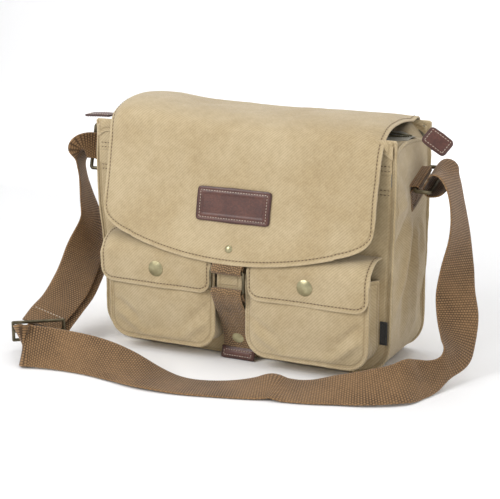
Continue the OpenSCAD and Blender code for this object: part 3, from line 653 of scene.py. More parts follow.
# ---------------------------------------------------------------- shoulder strap
# middle of the webbing in metres, then the way to one edge, shorter where it is cupped
ROUTE = [
    (0.2255, 0.0125, 0.2085, 0, -0.72, -0.2), (0.2195, 0.0145, 0.2055, 0, -0.86, -0.28),
    (0.213, 0.0157, 0.2048, 0, -0.94, -0.34), (0.204, 0.0152, 0.2064, 0, -0.94, -0.34),
    (0.202, 0.0125, 0.214, 0, -0.94, -0.34), (0.206, 0.01, 0.2215, 0, -0.94, -0.34),
    (0.213, 0.0075, 0.2265, 0, -0.95, -0.3), (0.223, 0.004, 0.225, 0, -0.98, -0.2),
    (0.2315, 0.002, 0.213, 0, -1, -0.05), (0.2375, 0.001, 0.192, 0, -1, 0),
    (0.2415, 0.001, 0.158, -0.17, -0.98, 0), (0.241, -0.001, 0.12, -0.55, -0.83, 0),
    (0.241, -0.003, 0.092, -0.72, -0.69, 0), (0.247, -0.012, 0.068, -0.86, -0.5, 0.05),
    (0.252, -0.026, 0.045, -0.58, -0.76, 0.3), (0.254, -0.04, 0.033, -0.44, -0.7, 0.33),
    (0.251, -0.052, 0.0255, -0.24, -0.4, 0.42), (0.2455, -0.0635, 0.0205, -0.2, 0.05, 0.56),
    (0.24, -0.074, 0.0182, -0.21, 0.3, 0.64), (0.2325, -0.0865, 0.0178, -0.23, 0.58, 0.66),
    (0.219, -0.111, 0.0185, -0.26, 0.73, 0.64), (0.189, -0.129, 0.015, -0.3, 0.8, 0.52),
    (0.156, -0.139, 0.0105, -0.35, 0.85, 0.35), (0.129, -0.147, 0.0066, -0.4, 0.9, 0.18),
    (0.104, -0.153, 0.0065, -0.4, 0.9, 0.18), (0.088, -0.155, 0.009, -0.4, 0.87, 0.28),
    (0.072, -0.16, 0.006, -0.42, 0.9, 0.14), (0.04, -0.169, 0.0024, -0.45, 0.89, 0.02),
    (-0.008, -0.181, 0.0024, -0.45, 0.89, 0.02), (-0.046, -0.184, 0.0075, -0.42, 0.86, 0.24),
    (-0.086, -0.18, 0.014, -0.4, 0.74, 0.5), (-0.12, -0.178, 0.018, -0.35, 0.64, 0.66),
    (-0.159, -0.181, 0.0205, -0.32, 0.54, 0.77), (-0.192, -0.1905, 0.0232, -0.34, 0.4, 0.85),
    (-0.202, -0.1945, 0.0238, -0.42, 0.36, 0.83), (-0.206, -0.191, 0.0242, -0.45, 0.32, 0.83),
    (-0.2035, -0.186, 0.0244, -0.48, 0.24, 0.82), (-0.203, -0.171, 0.0225, -0.64, -0.1, 0.66),
    (-0.209, -0.156, 0.0195, -0.78, -0.45, 0.35), (-0.213, -0.141, 0.02, -0.8, -0.58, 0.05),
    (-0.213, -0.119, 0.0305, -0.82, -0.57, 0), (-0.212, -0.097, 0.0415, -0.85, -0.5, 0),
    (-0.213, -0.066, 0.058, -0.8, -0.57, 0.1), (-0.224, -0.021, 0.084, -0.35, -0.93, 0),
    (-0.236, 0.005, 0.12, 0, -1, 0), (-0.243, 0.007, 0.152, 0.22, -0.97, 0),
    (-0.2485, 0.008, 0.18, 0.3, -0.8, 0.1), (-0.251, 0.011, 0.199, 0.22, -0.62, 0.2),
    (-0.249, 0.016, 0.21, 0.14, -0.46, 0.34), (-0.242, 0.0185, 0.2153, 0, 0, 0.62),
    (-0.232, 0.0194, 0.2154, 0, 0.17, 0.64), (-0.2236, 0.01, 0.218, 0, 0.17, 0.64),
    (-0.232, 0.0004, 0.2206, 0, 0.17, 0.64), (-0.2415, -0.0065, 0.219, 0, 0, 0.62),
    (-0.2455, -0.005, 0.211, 0.14, -0.46, 0.34), (-0.246, -0.003, 0.199, 0.22, -0.62, 0.2),
    (-0.243, -0.001, 0.18, 0.32, -0.8, 0.1), (-0.2375, -0.001, 0.154, 0.22, -0.97, 0),
    (-0.2305, -0.004, 0.126, 0, -1, 0), (-0.226, -0.029, 0.094, -0.35, -0.93, 0),
    (-0.217, -0.071, 0.065, -0.8, -0.57, 0.1), (-0.216, -0.1, 0.0485, -0.85, -0.5, 0),
    (-0.218, -0.122, 0.038, -0.82, -0.57, 0), (-0.217, -0.14, 0.03, -0.8, -0.6, 0),
]
strap_width = 0.048
strap_thick = 2.2 * MM


def smoothed(line, spread):
    """The line with its bumps shorter than spread points evened out, its ends kept."""
    reach = int(3 * spread)
    kernel = np.exp(-((np.arange(-reach, reach + 1) / spread) ** 2) / 2)
    kernel /= kernel.sum()
    padded = np.concatenate([2 * line[:1] - line[reach:0:-1], line, 2 * line[-1:] - line[-2:-reach - 2:-1]])
    return np.stack([np.convolve(padded[:, c], kernel, "valid") for c in range(line.shape[1])], -1)


def strap_line():
    """Centre points and half-width vectors of the strap, kept above the ground."""
    line = spline(ROUTE, 0.52 * MM)
    centre, way = smoothed(line[:, :3], 4), smoothed(line[:, 3:], 18)
    full = smoothed(np.minimum(1, np.linalg.norm(line[:, 3:], axis=1, keepdims=True)), 12)
    along = unit(np.gradient(centre, axis=0))
    edge = unit(way - (way * along).sum(axis=1, keepdims=True) * along) * full * strap_width / 2
    face = unit(np.cross(along, edge))
    low = centre[:, 2] - np.abs(edge[:, 2]) - strap_thick * 0.6 * np.abs(face[:, 2])
    lift = np.maximum(0, 0.3 * MM - low)
    kernel = np.hanning(61)
    lift = np.maximum(lift, np.convolve(np.pad(lift, 30, mode="edge"), kernel / kernel.sum(), "valid"))
    centre[:, 2] += lift
    return centre, edge


def make_strap():
    """The shoulder strap, which is one cord, and the stitches at its end."""
    centre, edge = strap_line()
    strap = ribbon("shoulder_strap_webbing", centre, edge, strap_thick, STRAP, ribs=0.16 * MM,
                   pitch=0.0027, columns=13)
    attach(strap, BODY)
    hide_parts("shoulder_strap")
    face = unit(np.cross(unit(np.gradient(centre, axis=0)), edge))
    runs = []
    for spot in (lengths(centre)[-1] - 0.022,):
        i = int(np.searchsorted(lengths(centre), spot))
        for sign in (-1, 1):
            across = np.linspace(-0.85, 0.85, 30)[:, None]
            line = centre[i] + edge[i] * across + sign * face[i] * (strap_thick / 2 + 0.2 * MM)
            runs.append((line, np.broadcast_to(sign * face[i], line.shape)))
    sewn = stitches("strap_end_stitches", runs, 4.0 * MM, 2.7 * MM, 0.62 * MM, PALE_THREAD)
    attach(sewn, BODY)


make_strap()


# ---------------------------------------------------------------- the main flap
FLAP_SIDE = np.array([
    (57.6, 243, 0), (57.9, 255, 0), (58.0, 266, 0), (56.2, 273.6, 0), (49, 277.8, 0), (38, 280, 0),
    (16, 282.8, 0), (-10, 283.6, 0), (-33, 281.3, 0), (-46, 277.4, 0), (-56, 271.4, 0), (-62.3, 262, 0),
    (-67.6, 243, 0), (-72, 222, 0), (-76, 201, 0), (-80.2, 180, 0), (-84.5, 160, 0), (-91.6, 138, 0),
    (-99.2, 114, 0),
]) * MM
flap_line = spline(FLAP_SIDE, 0.5 * MM)
flap_way = lengths(flap_line)
flap_thick = 2.2 * MM
flap_split = float(flap_way[np.argmin(np.abs(flap_line[:, 0] - 8 * MM))])
front_part = flap_line[:, 0] < -56 * MM
crown_end = float(flap_way[front_part][0])


def along_flap_at(z):
    """How far along the flap's side line the front reaches height z."""
    return np.interp(-np.asarray(z), -flap_line[front_part][:, 1], flap_way[front_part])


def flap_edge_height(a):
    """The height of the flap's lower edge: a shallow arc with rounded corners."""
    a = np.clip(np.abs(a), 0, flap_half - 1e-6)
    arc_radius, corner = 440 * MM, 40 * MM
    arc = arc_radius - np.sqrt(arc_radius**2 - a**2)
    over = np.maximum(0, a - (flap_half - corner))
    round_part = corner - np.sqrt(np.maximum(0, corner**2 - over**2)) + np.where(over > 0, 12 * MM, 0)
    return flap_low + (arc**4 + np.where(over > 0, round_part, 0) ** 4) ** 0.25


def flap_surface(a, s):
    """Outer side of the flap: a across from its middle, s along from its sewn back edge."""
    a, s = np.broadcast_arrays(np.asarray(a, float), np.asarray(s, float))
    y = np.interp(s, flap_way, flap_line[:, 0])
    z = np.interp(s, flap_way, flap_line[:, 1])
    run = np.stack([np.interp(s + 1 * MM, flap_way, flap_line[:, 0])
                    - np.interp(s - 1 * MM, flap_way, flap_line[:, 0]),
                    np.interp(s + 1 * MM, flap_way, flap_line[:, 1])
                    - np.interp(s - 1 * MM, flap_way, flap_line[:, 1])], -1)
    run = unit(run)
    calm = np.maximum(patch_of_calm(a, z, (0, 182 * MM), (50 * MM, 26 * MM)),
                      patch_of_calm(a, z, (0, 130 * MM), (28 * MM, 20 * MM)))
    loose = (1 - calm * (s > crown_end)) * ease(s, 22 * MM, 60 * MM)
    d = loose * (2.2 * MM * mist(a, s, 85 * MM, 3) + 1.1 * MM * mist(a, s, 34 * MM, 4)
                 + 0.3 * MM * mist(a, s, 13 * MM, 5))
    crown = ease(s, 32 * MM, 55 * MM) * (1 - ease(s, crown_end - 8 * MM, crown_end + 30 * MM))
    d += crown * (8.5 * MM * np.exp(-(((a + 142 * MM) / (46 * MM)) ** 2))
                  - 1.6 * MM * np.exp(-(((a - 20 * MM) / (60 * MM)) ** 2)))
    side = ease(a, flap_half - 26 * MM, flap_half + 6 * MM) + 0.9 * ease(-a, flap_half - 11 * MM,
                                                                         flap_half + 4 * MM)
    d -= crown * side * 6.5 * MM
    low = along_flap_at(flap_edge_height(a))
    up = np.maximum(0, low - s)
    d += loose * crease(a, s, (-flap_half, crown_end + 10 * MM), (-60 * MM, crown_end + 62 * MM), 11 * MM,
                        0.9 * MM)
    d += loose * crease(a, s, (70 * MM, crown_end + 4 * MM), (flap_half, crown_end + 46 * MM), 12 * MM,
                        1.0 * MM)
    d += loose * crease(a, s, (60 * MM, crown_end + 128 * MM), (140 * MM, crown_end + 96 * MM), 10 * MM,
                        1.1 * MM)
    d += loose * crease(a, s, (-150 * MM, crown_end + 88 * MM), (-70 * MM, crown_end + 130 * MM), 9 * MM,
                        1.0 * MM)
    d += np.where(s > crown_end, 0.35 * MM * np.sin(a / (4.6 * MM)) * np.exp(-up / (5 * MM)), 0)
    x = flap_middle + a + 0.6 * MM * mist(s, a * 0, 30 * MM, 6) * np.sign(a) * ease(np.abs(a), 0.1,
                                                                                    flap_half)
    return np.stack([x, y + d * run[..., 1], z - d * run[..., 0]], axis=-1)


def flap_grid(first, last, rows, cols):
    """Flat points of the flap from first to last, each a number or a function of a."""
    a = (2 * bead_ends(cols) - 1) * flap_half
    end = last(a) if callable(last) else np.full(cols, last)
    t = np.linspace(0, 1, rows)[:, None]
    return np.broadcast_to(a, (rows, cols)), first + t * (end - first)


def flap_end(a):
    """Length along the flap at which it ends."""
    return along_flap_at(flap_edge_height(a))


def make_flap():
    """The two sheets of the flap, with their stitches."""
    a, s = flap_grid(0.0, flap_split, 70, 190)
    back = cloth("flap_back_cloth", flap_surface(a, s), np.stack([a, s], -1), flap_thick, (0, 0.2, 0.4),
                 CANVAS, LINING)
    a, s = flap_grid(flap_split, flap_end, 150, 190)
    front = cloth("flap_front_cloth", flap_surface(a, s), np.stack([a, s], -1), flap_thick, (0, -0.3, 0.3),
                  CANVAS, LINING)
    for made in (back, front):
        join = made.data.attributes["rim"].data
        flat = made.data.vertices
        for v, spot in zip(flat, join):
            if v.co.z > 0.27 and abs(v.co.x - flap_middle) < flap_half - 9 * MM and abs(v.co.y
                                                                                        - 8 * MM) < 12 * MM:
                spot.value = 30.0
    inset = 4 * MM
    sides = [flap_half - inset, -flap_half + inset]
    back_runs = [seam(flap_surface, [(side, 2 * MM), (side, flap_split)], (flap_middle + side, 0.1, 0.5))
                 for side in sides]
    for s_row in (4 * MM, 24 * MM):
        back_runs.append(seam(flap_surface, [(sides[1], s_row), (sides[0], s_row)], (0, 0.5, 0.25)))
    across = np.linspace(-flap_half + inset, flap_half - inset, 120)
    lower = [(x, float(flap_end(np.array([x]))[0]) - inset * 1.05) for x in across]
    low_side = lower[0][1]
    edge_path = [(sides[1], flap_split + t * (low_side - flap_split)) for t in np.linspace(0, 0.97, 60)]
    edge_path += lower + [(sides[0], p[1]) for p in edge_path[::-1]]
    front_runs = [seam(flap_surface, edge_path, (0, -0.4, 0.5))]
    sewn_back = stitches("flap_back_stitches", back_runs, *SEAM_STITCH)
    sewn_front = stitches("flap_front_stitches", front_runs, *SEAM_STITCH)
    for made in (back, sewn_back):
        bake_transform(made)
    for made in (front, sewn_front):
        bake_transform(made)
    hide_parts("flap_top", "flap_anchor")
    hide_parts("flap_front")


make_flap()


# ---------------------------------------------------------------- leather patch on the flap
def rounded_grid(wide, high, corner, rows, cols):
    """Flat points of a rounded rectangle round 0, 0: every row is as wide as the outline there."""
    b = (2 * bead_ends(rows) - 1) * high / 2
    over = np.maximum(0, np.abs(b) - (high / 2 - corner))
    half = wide / 2 - corner + np.sqrt(np.maximum(0, corner**2 - over**2))
    t = 2 * bead_ends(cols) - 1
    return t[None, :] * half[:, None], np.broadcast_to(b[:, None], (rows, cols))


def make_patch():
    """The leather patch on the flap, which is blank, and its stitches."""
    wide, high, thick, corner = 90 * MM, 38 * MM, 1.8 * MM, 4 * MM
    middle = float(along_flap_at(182.5 * MM))

    def surface(a, b):
        flap = flap_surface(a, middle - b)
        tiny = 0.5 * MM
        normal = unit(np.cross(flap_surface(a + tiny, middle - b) - flap,
                               flap_surface(a, middle - b + tiny) - flap))
        normal = normal * np.sign((normal * np.array([0, -1, 0.2])).sum(-1, keepdims=True))
        inside = np.minimum(wide / 2 - np.abs(a), high / 2 - np.abs(b))
        puff = 0.5 * MM * ease(inside, 0,
                               3 * MM) - 0.35 * MM * np.exp(-(((inside - 4 * MM) / (1.0 * MM)) ** 2))
        puff = puff - 0.4 * MM * ease(inside, 7.0 * MM, 8.5 * MM)
        return flap + normal * (thick + 0.05 * MM + puff)[..., None]

    a, b = rounded_grid(wide, high, corner, 50, 90)
    patch = cloth("leather_patch_blank", surface(a, b), np.stack([a, b], -1), thick, (0, -0.5, 0.25),
                  LEATHER)
    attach(patch, "flap_lower")
    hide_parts("leather_patch")
    w, h = wide / 2 - 4 * MM, high / 2 - 4 * MM
    loop = [(-w, -h), (w, -h), (w, h), (-w, h), (-w, -h)]
    sewn = stitches("patch_stitches", [seam(surface, loop, (0, -0.5, 0.25), 0.1 * MM)], 3.3 * MM, 2.2 * MM,
                    0.38 * MM,
                    PALE_THREAD)
    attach(sewn, "flap_lower")


make_patch()


# ---------------------------------------------------------------- the body
def body_sway(z, side):
    """How far the body's side edge strays from straight, out from the middle."""
    z = np.asarray(z, float)
    drawn_in = 8.5 * MM * (1 - ease(z, 70 * MM, 190 * MM)) * (side < 0)
    stray = 1.3 * MM * mist(z, z * 0 + side, 60 * MM, 11 + (side > 0)) + 0.5 * MM * mist(z, z * 0, 22 * MM,
                                                                                         13)
    return side_calm(z) * stray - drawn_in


def side_calm(z):
    """0 at the foot of a side and 1 above its rounded corner."""
    return ease(z, foot_z, foot_z + corner_radius)


def body_half(z, inset=0.0):
    """Half the body's width at height z."""
    z = np.asarray(z, float)
    radius = corner_radius - inset
    under = np.clip((foot_z + corner_radius - z) / radius, 0, 1)
    return half_width - corner_radius + radius * np.sqrt(np.maximum(0, 1 - under**2))


def body_grid(top, rows, cols, inset=0.0):
    """x and z over the body's outline from its foot to top, rows closer together round the corners."""
    quarter = np.linspace(0, math.pi / 2, 13)
    low = foot_z + inset + (corner_radius - inset) * (1 - np.cos(quarter))
    z = np.concatenate([low, np.linspace(foot_z + corner_radius, top, rows)[1:]])
    half = body_half(z, inset)
    t = (2 * bead_ends(cols) - 1)[None, :]
    x = t * half[:, None]
    x = x + np.where(t > 0, body_sway(z, 1)[:, None], -body_sway(z, -1)[:, None]) * np.abs(t)
    return x, np.broadcast_to(z[:, None], x.shape)


def front_bulge(x, z):
    """How far the front stands out from flat; it stays put where metal is fixed to it."""
    low = patch_of_calm(x, z, (flap_middle, 25 * MM), (26 * MM, 26 * MM))
    near_zip = patch_of_calm(x, z, (0, 222 * MM), (200 * MM, 12 * MM))
    d = 0.9 * MM * mist(x, z, 60 * MM, 21) + 0.45 * MM * mist(x, z, 24 * MM, 22)
    return (0.3 * MM + d) * (1 - low) * (1 - 0.8 * near_zip) * ease(half_width - np.abs(x), 0, 8 * MM)


def back_bulge(x, z):
    """How far the back swells out."""
    middle = (1 - (x / half_width) ** 2) * np.sin(math.pi * np.clip((z - foot_z) / back_top, 0, 1))
    d = 2.6 * MM * middle + 1.2 * MM * mist(x, z, 70 * MM, 23) + 0.5 * MM * mist(x, z, 26 * MM, 24)
    return d * ease(half_width - np.abs(x), 0, 10 * MM) * (1 - ease(z, 228 * MM, 246 * MM))


def gusset_height(y):
    """The gusset's top edge: it rises from the corners to the zip's end."""
    return gusset_top + 7 * MM * (1 - (np.asarray(y) / back_y) ** 2)


def gusset_bulge(side, y, z):
    """How far a gusset stands out, with the folds that fall from its ring tab."""
    tab_y, tab_z = (13 * MM, 213 * MM) if side > 0 else (10 * MM, 218 * MM)
    soft = 1 - (y / back_y) ** 2
    d = 1.6 * MM * soft * np.sin(math.pi * np.clip(z / gusset_top, 0, 1)) + 2.0 * MM * mist(y, z, 38 * MM,
                                                                                            31 + (side > 0))
    d = d + 0.9 * MM * mist(y, z, 17 * MM, 33)
    for far_y, far_z, deep in ((-40, 70, 5.5), (-20, 40, -5.0), (14, 40, 5.0), (-52, 130, -5.5),
                               (44, 120, 4.0), (-54, 185, 5.0), (-50, 232, -4.0)):
        d = d + crease(y, z, (tab_y, tab_z - 16 * MM), (far_y * MM, far_z * MM), 7.5 * MM, deep * MM)
    d = d - 3.0 * MM * soft * ease(z, 222 * MM, 255 * MM)
    calm = patch_of_calm(y, z, (tab_y, tab_z - 10 * MM), (30 * MM, 38 * MM))
    return (d * (1 - calm) - 0.4 * MM * calm) * ease(z, foot_z + 6 * MM, foot_z + 50 * MM)


def strip_surface(s, y, inset=0.0):
    """The gusset and base as one strip: s runs from the left top round the base to the right top."""
    radius = corner_radius - inset
    s, y = np.broadcast_arrays(np.asarray(s, float), np.asarray(y, float))
    tall = gusset_height(y) - foot_z - corner_radius
    bend = radius * math.pi / 2
    flat_run = 2 * (half_width - corner_radius)
    total = 2 * tall + 2 * bend + flat_run
    at = s * total
    left = at < tall
    turn_left = np.clip((at - tall) / radius, 0, math.pi / 2)
    along = np.clip(at - tall - bend, 0, flat_run)
    turn_right = np.clip((at - tall - bend - flat_run) / radius, 0, math.pi / 2)
    up = np.maximum(0, at - tall - 2 * bend - flat_run)
    x = -(half_width - corner_radius) - radius * np.cos(turn_left) + along + radius * np.sin(turn_right)
    z = foot_z + corner_radius - radius * np.sin(turn_left) + radius * (1 - np.cos(turn_right))
    z = np.where(left, foot_z + corner_radius + tall - at, z) + up
    side = np.sign(x)
    facing_x = np.where(x < 0, -np.cos(turn_left), np.sin(turn_right))
    facing_z = np.where(x < 0, -np.sin(turn_left), -np.cos(turn_right))
    d = np.where(x < 0, gusset_bulge(-1, y, z), gusset_bulge(1, y, z))
    d = d * ease(np.abs(facing_x), 0,
                 1) + 2.0 * MM * (1 - ease(np.abs(facing_x), 0, 1)) * (1
                                                                       - ease(np.abs(y), 40 * MM, 53 * MM))
    d = d * ease(back_y - np.abs(y), 0, 5 * MM)
    d = d + body_sway(z, 1) * (side > 0) * np.abs(facing_x) + body_sway(z,
                                                                        -1) * (side < 0) * np.abs(facing_x)
    return np.stack([x + d * facing_x, y, z + d * facing_z], -1), np.stack([at, y], -1)


def make_body():
    """The front, back, sides and base, and the lining."""
    x, z = body_grid(front_top, 90, 110)
    front = cloth("front_panel_cloth", np.stack([x, front_y - front_bulge(x, z), z], -1),
                  np.stack([x, -z], -1), 1.6 * MM,
                  (0, -1, 0.13), CANVAS)
    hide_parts("front_panel")
    x, z = body_grid(back_top, 90, 110)
    back = cloth("back_panel_cloth", np.stack([x, back_y + back_bulge(x, z), z], -1),
                 np.stack([x, -z], -1), 1.6 * MM,
                 (0, 1, 0.13), CANVAS)
    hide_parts("back_panel")
    s, y = np.meshgrid(np.linspace(0, 1, 330), np.linspace(front_y + 0.6 * MM, back_y - 0.6 * MM, 56),
                       indexing="ij")
    points, flat = strip_surface(s, y)
    middle = np.array([0, 0, 0.13])
    normal = normals_of(points)
    if float((normal * (points - middle)).sum()) < 0:
        points, flat = points[:, ::-1], flat[:, ::-1]
    strip = shell("gusset_and_base_cloth", points, flat, 1.6 * MM, CANVAS)
    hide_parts("gusset_left", "gusset_right", "base_panel")
    for made in (front, back, strip):
        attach(made, BODY)
    inset = 2.6 * MM
    x, z = body_grid(front_top - 5 * MM, 60, 70, inset)
    scale = (half_width - inset) / half_width
    lining_front = cloth("lining_front",
                         np.stack([x * scale, front_y + inset - front_bulge(x, z) * 0.8, z], -1),
                         np.stack([x, z], -1), 0.6 * MM, (0, 1, 0.13), LINING)
    x, z = body_grid(back_top - 5 * MM, 60, 70, inset)
    lining_back = cloth("lining_back",
                        np.stack([x * scale, back_y - inset + back_bulge(x, z) * 0.8, z], -1),
                        np.stack([x, z], -1), 0.6 * MM, (0, -1, 0.13), LINING)
    s, y = np.meshgrid(np.linspace(0.012, 0.988, 220), np.linspace(front_y + inset, back_y - inset, 40),
                       indexing="ij")
    points, flat = strip_surface(s, y, inset)
    points[..., 0] -= np.sign(points[..., 0]) * inset * np.clip(np.abs(points[..., 0]) / half_width, 0, 1)
    lining_strip = shell("lining_sides", points[:, ::-1], flat[:, ::-1], 0.6 * MM, LINING)
    for made in (lining_front, lining_back, lining_strip):
        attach(made, BODY)
    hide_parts("lining")


def shell(name, points, flat, thick, material):
    """Cloth that bends round: the order of its points says which side is the outer one."""
    rows, cols = points.shape[:2]
    normal = normals_of(points)
    inner = points - normal * thick
    loop = border_loop(rows, cols)
    count = rows * cols
    a, b = loop, np.roll(loop, -1)
    rim_faces = np.stack([a, a + count, b + count, b], axis=1)
    faces = np.vstack([grid_faces(rows, cols), grid_faces(rows, cols, count, True), rim_faces])
    everything = np.vstack([points.reshape(-1, 3), inner.reshape(-1, 3)])
    flat_all = np.vstack([flat.reshape(-1, 2)] * 2)
    way = way_to_edge(flat, flat.reshape(-1, 2)[loop])
    return piece(name, everything, faces, [material], flat_all, np.concatenate([way, way]))


make_body()


def body_outline(top, step):
    """The seam line where a panel meets the gusset: down the left, along the base and up the right."""
    z = np.concatenate([foot_z + corner_radius * (1 - np.cos(np.linspace(0, math.pi / 2, 24))),
                        np.linspace(foot_z + corner_radius, top, 90)[1:]])
    right = body_half(z) + body_sway(z, 1)
    left = -body_half(z) - body_sway(z, -1)
    x = np.concatenate([left[::-1], right])
    return evenly(np.stack([x, x * 0, np.concatenate([z[::-1], z])], -1), step)


def make_piping():
    """The rolled seams round the front and the back."""
    for name, node, y, top in (("front_piping_roll", "piping_front", front_y, front_top - 1 * MM),
                               ("back_piping_roll", "piping_back", back_y, back_top - 1 * MM)):
        line = body_outline(top, 1.6 * MM)
        s = lengths(line)
        line[:, 1] = y + 0.35 * MM * mist(s, s * 0, 18 * MM, 41)
        radius = (1.6 if y < 0 else 2.2) * MM + 0.22 * MM * mist(s, s * 0, 7 * MM, 42)
        low = line[:, 2] < foot_z + 1 * MM
        line[low, 2] = np.maximum(line[low, 2], 2.6 * MM)
        roll = tube(name, line, radius, 14, CANVAS)
        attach(roll, BODY)
        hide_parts(node)


make_piping()


def make_front_layers():
    """The outer layer below the front zip, the hem above it and the bindings along the top edges."""
    inset = 3.2 * MM
    low_top, hem_low = 215 * MM, 229 * MM

    def layer(x, z):
        return np.stack([x, outer_y - front_bulge(x, z) - 0.1 * MM, z], -1)

    def roll(z, edge, out):
        return out * 0.5 * MM * np.exp(-((z - edge) / (2.2 * MM)) ** 2)

    x, z = body_grid(low_top, 90, 120, inset)
    x = x * (half_width - inset) / half_width
    points = layer(x, z)
    points[..., 1] -= roll(z, low_top - 1 * MM, 1)
    lower = cloth("front_pocket_cloth", points, np.stack([x, -z], -1), 1.1 * MM, (0, -1, 0.1), CANVAS,
                  rims=False)
    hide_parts("pocket_panel")
    wide = half_width - inset
    x, z = np.meshgrid(np.linspace(-wide, wide, 130), np.linspace(hem_low, front_top - 1 * MM, 22))
    points = layer(x, z)
    points[..., 1] -= roll(z, hem_low + 1 * MM, 1)
    hem = cloth("front_hem_cloth", points, np.stack([x, -z], -1), 1.1 * MM, (0, -1, 0.25), CANVAS,
                rims=False)
    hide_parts("top_hem")
    runs = []
    for height in (low_top - 4 * MM, low_top - 9 * MM, hem_low + 3 * MM, hem_low + 8 * MM):
        path = [(-wide + 2 * MM, height), (wide - 2 * MM, height)]
        runs.append(seam(layer, path, (0, -1, height), 0.25 * MM))
    sewn = stitches("front_zip_stitches", runs, *SEAM_STITCH)
    for made in (lower, hem, sewn):
        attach(made, BODY)
    for name, y, top, out in (("front_top_binding", front_y, front_top, -1),
                              ("back_top_binding", back_y, back_top, 1)):
        profile = spline([(-1.9, -13, 0), (-2.5, -7, 0), (-2.3, -2, 0), (-0.9, 0.9, 0), (1.3, 0.9, 0),
                          (2.9, -2, 0),
                          (3.0, -9, 0)], 0.7)[:, :2] * MM
        across = np.linspace(-half_width + 2 * MM, half_width - 2 * MM, 150)
        wave = 0.5 * MM * mist(across, across * 0, 30 * MM, 44) + 0.25 * MM * mist(across, across * 0,
                                                                                   11 * MM, 45)
        drop = 7 * MM * ease(np.abs(across), half_width - 14 * MM, half_width)
        x = np.broadcast_to(across[:, None], (len(across), len(profile)))
        thick_y = y + (0.0 if out > 0 else -1.0 * MM)
        points = np.stack([x, thick_y - out * profile[None, :, 0] + wave[:, None],
                           top + profile[None, :, 1] + wave[:, None] * 0.6 - drop[:, None]], -1)
        s = lengths(np.concatenate([profile, profile[:, :1] * 0], 1))
        flat = np.stack([x, np.broadcast_to(s, x.shape)], -1)
        binding = cloth(name, points, flat, 0.9 * MM, (0, y + out * 0.4, top + 0.05), CANVAS)
        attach(binding, BODY)


make_front_layers()


# ---------------------------------------------------------------- bellows pockets
pocket_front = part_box("pocket_face_left")[0].y
pocket_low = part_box("pocket_face_left")[0].z
pocket_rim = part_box("pocket_face_left")[1].z
pocket_corner = 24 * MM


def pocket_outline(x0, x1, step, top):
    """Outline of a pocket, down its left, along its foot and up its right."""
    turn = np.linspace(0, math.pi / 2, 20)
    r = pocket_corner
    left = [(x0, z) for z in np.linspace(top, pocket_low + r, 40)]
    left += [(x0 + r - r * math.cos(t), pocket_low + r - r * math.sin(t)) for t in turn[1:]]
    right = [(x0 + x1 - x, z) for x, z in left[::-1]]
    line = np.array([(x, 0, z) for x, z in left + right])
    return evenly(line, step)


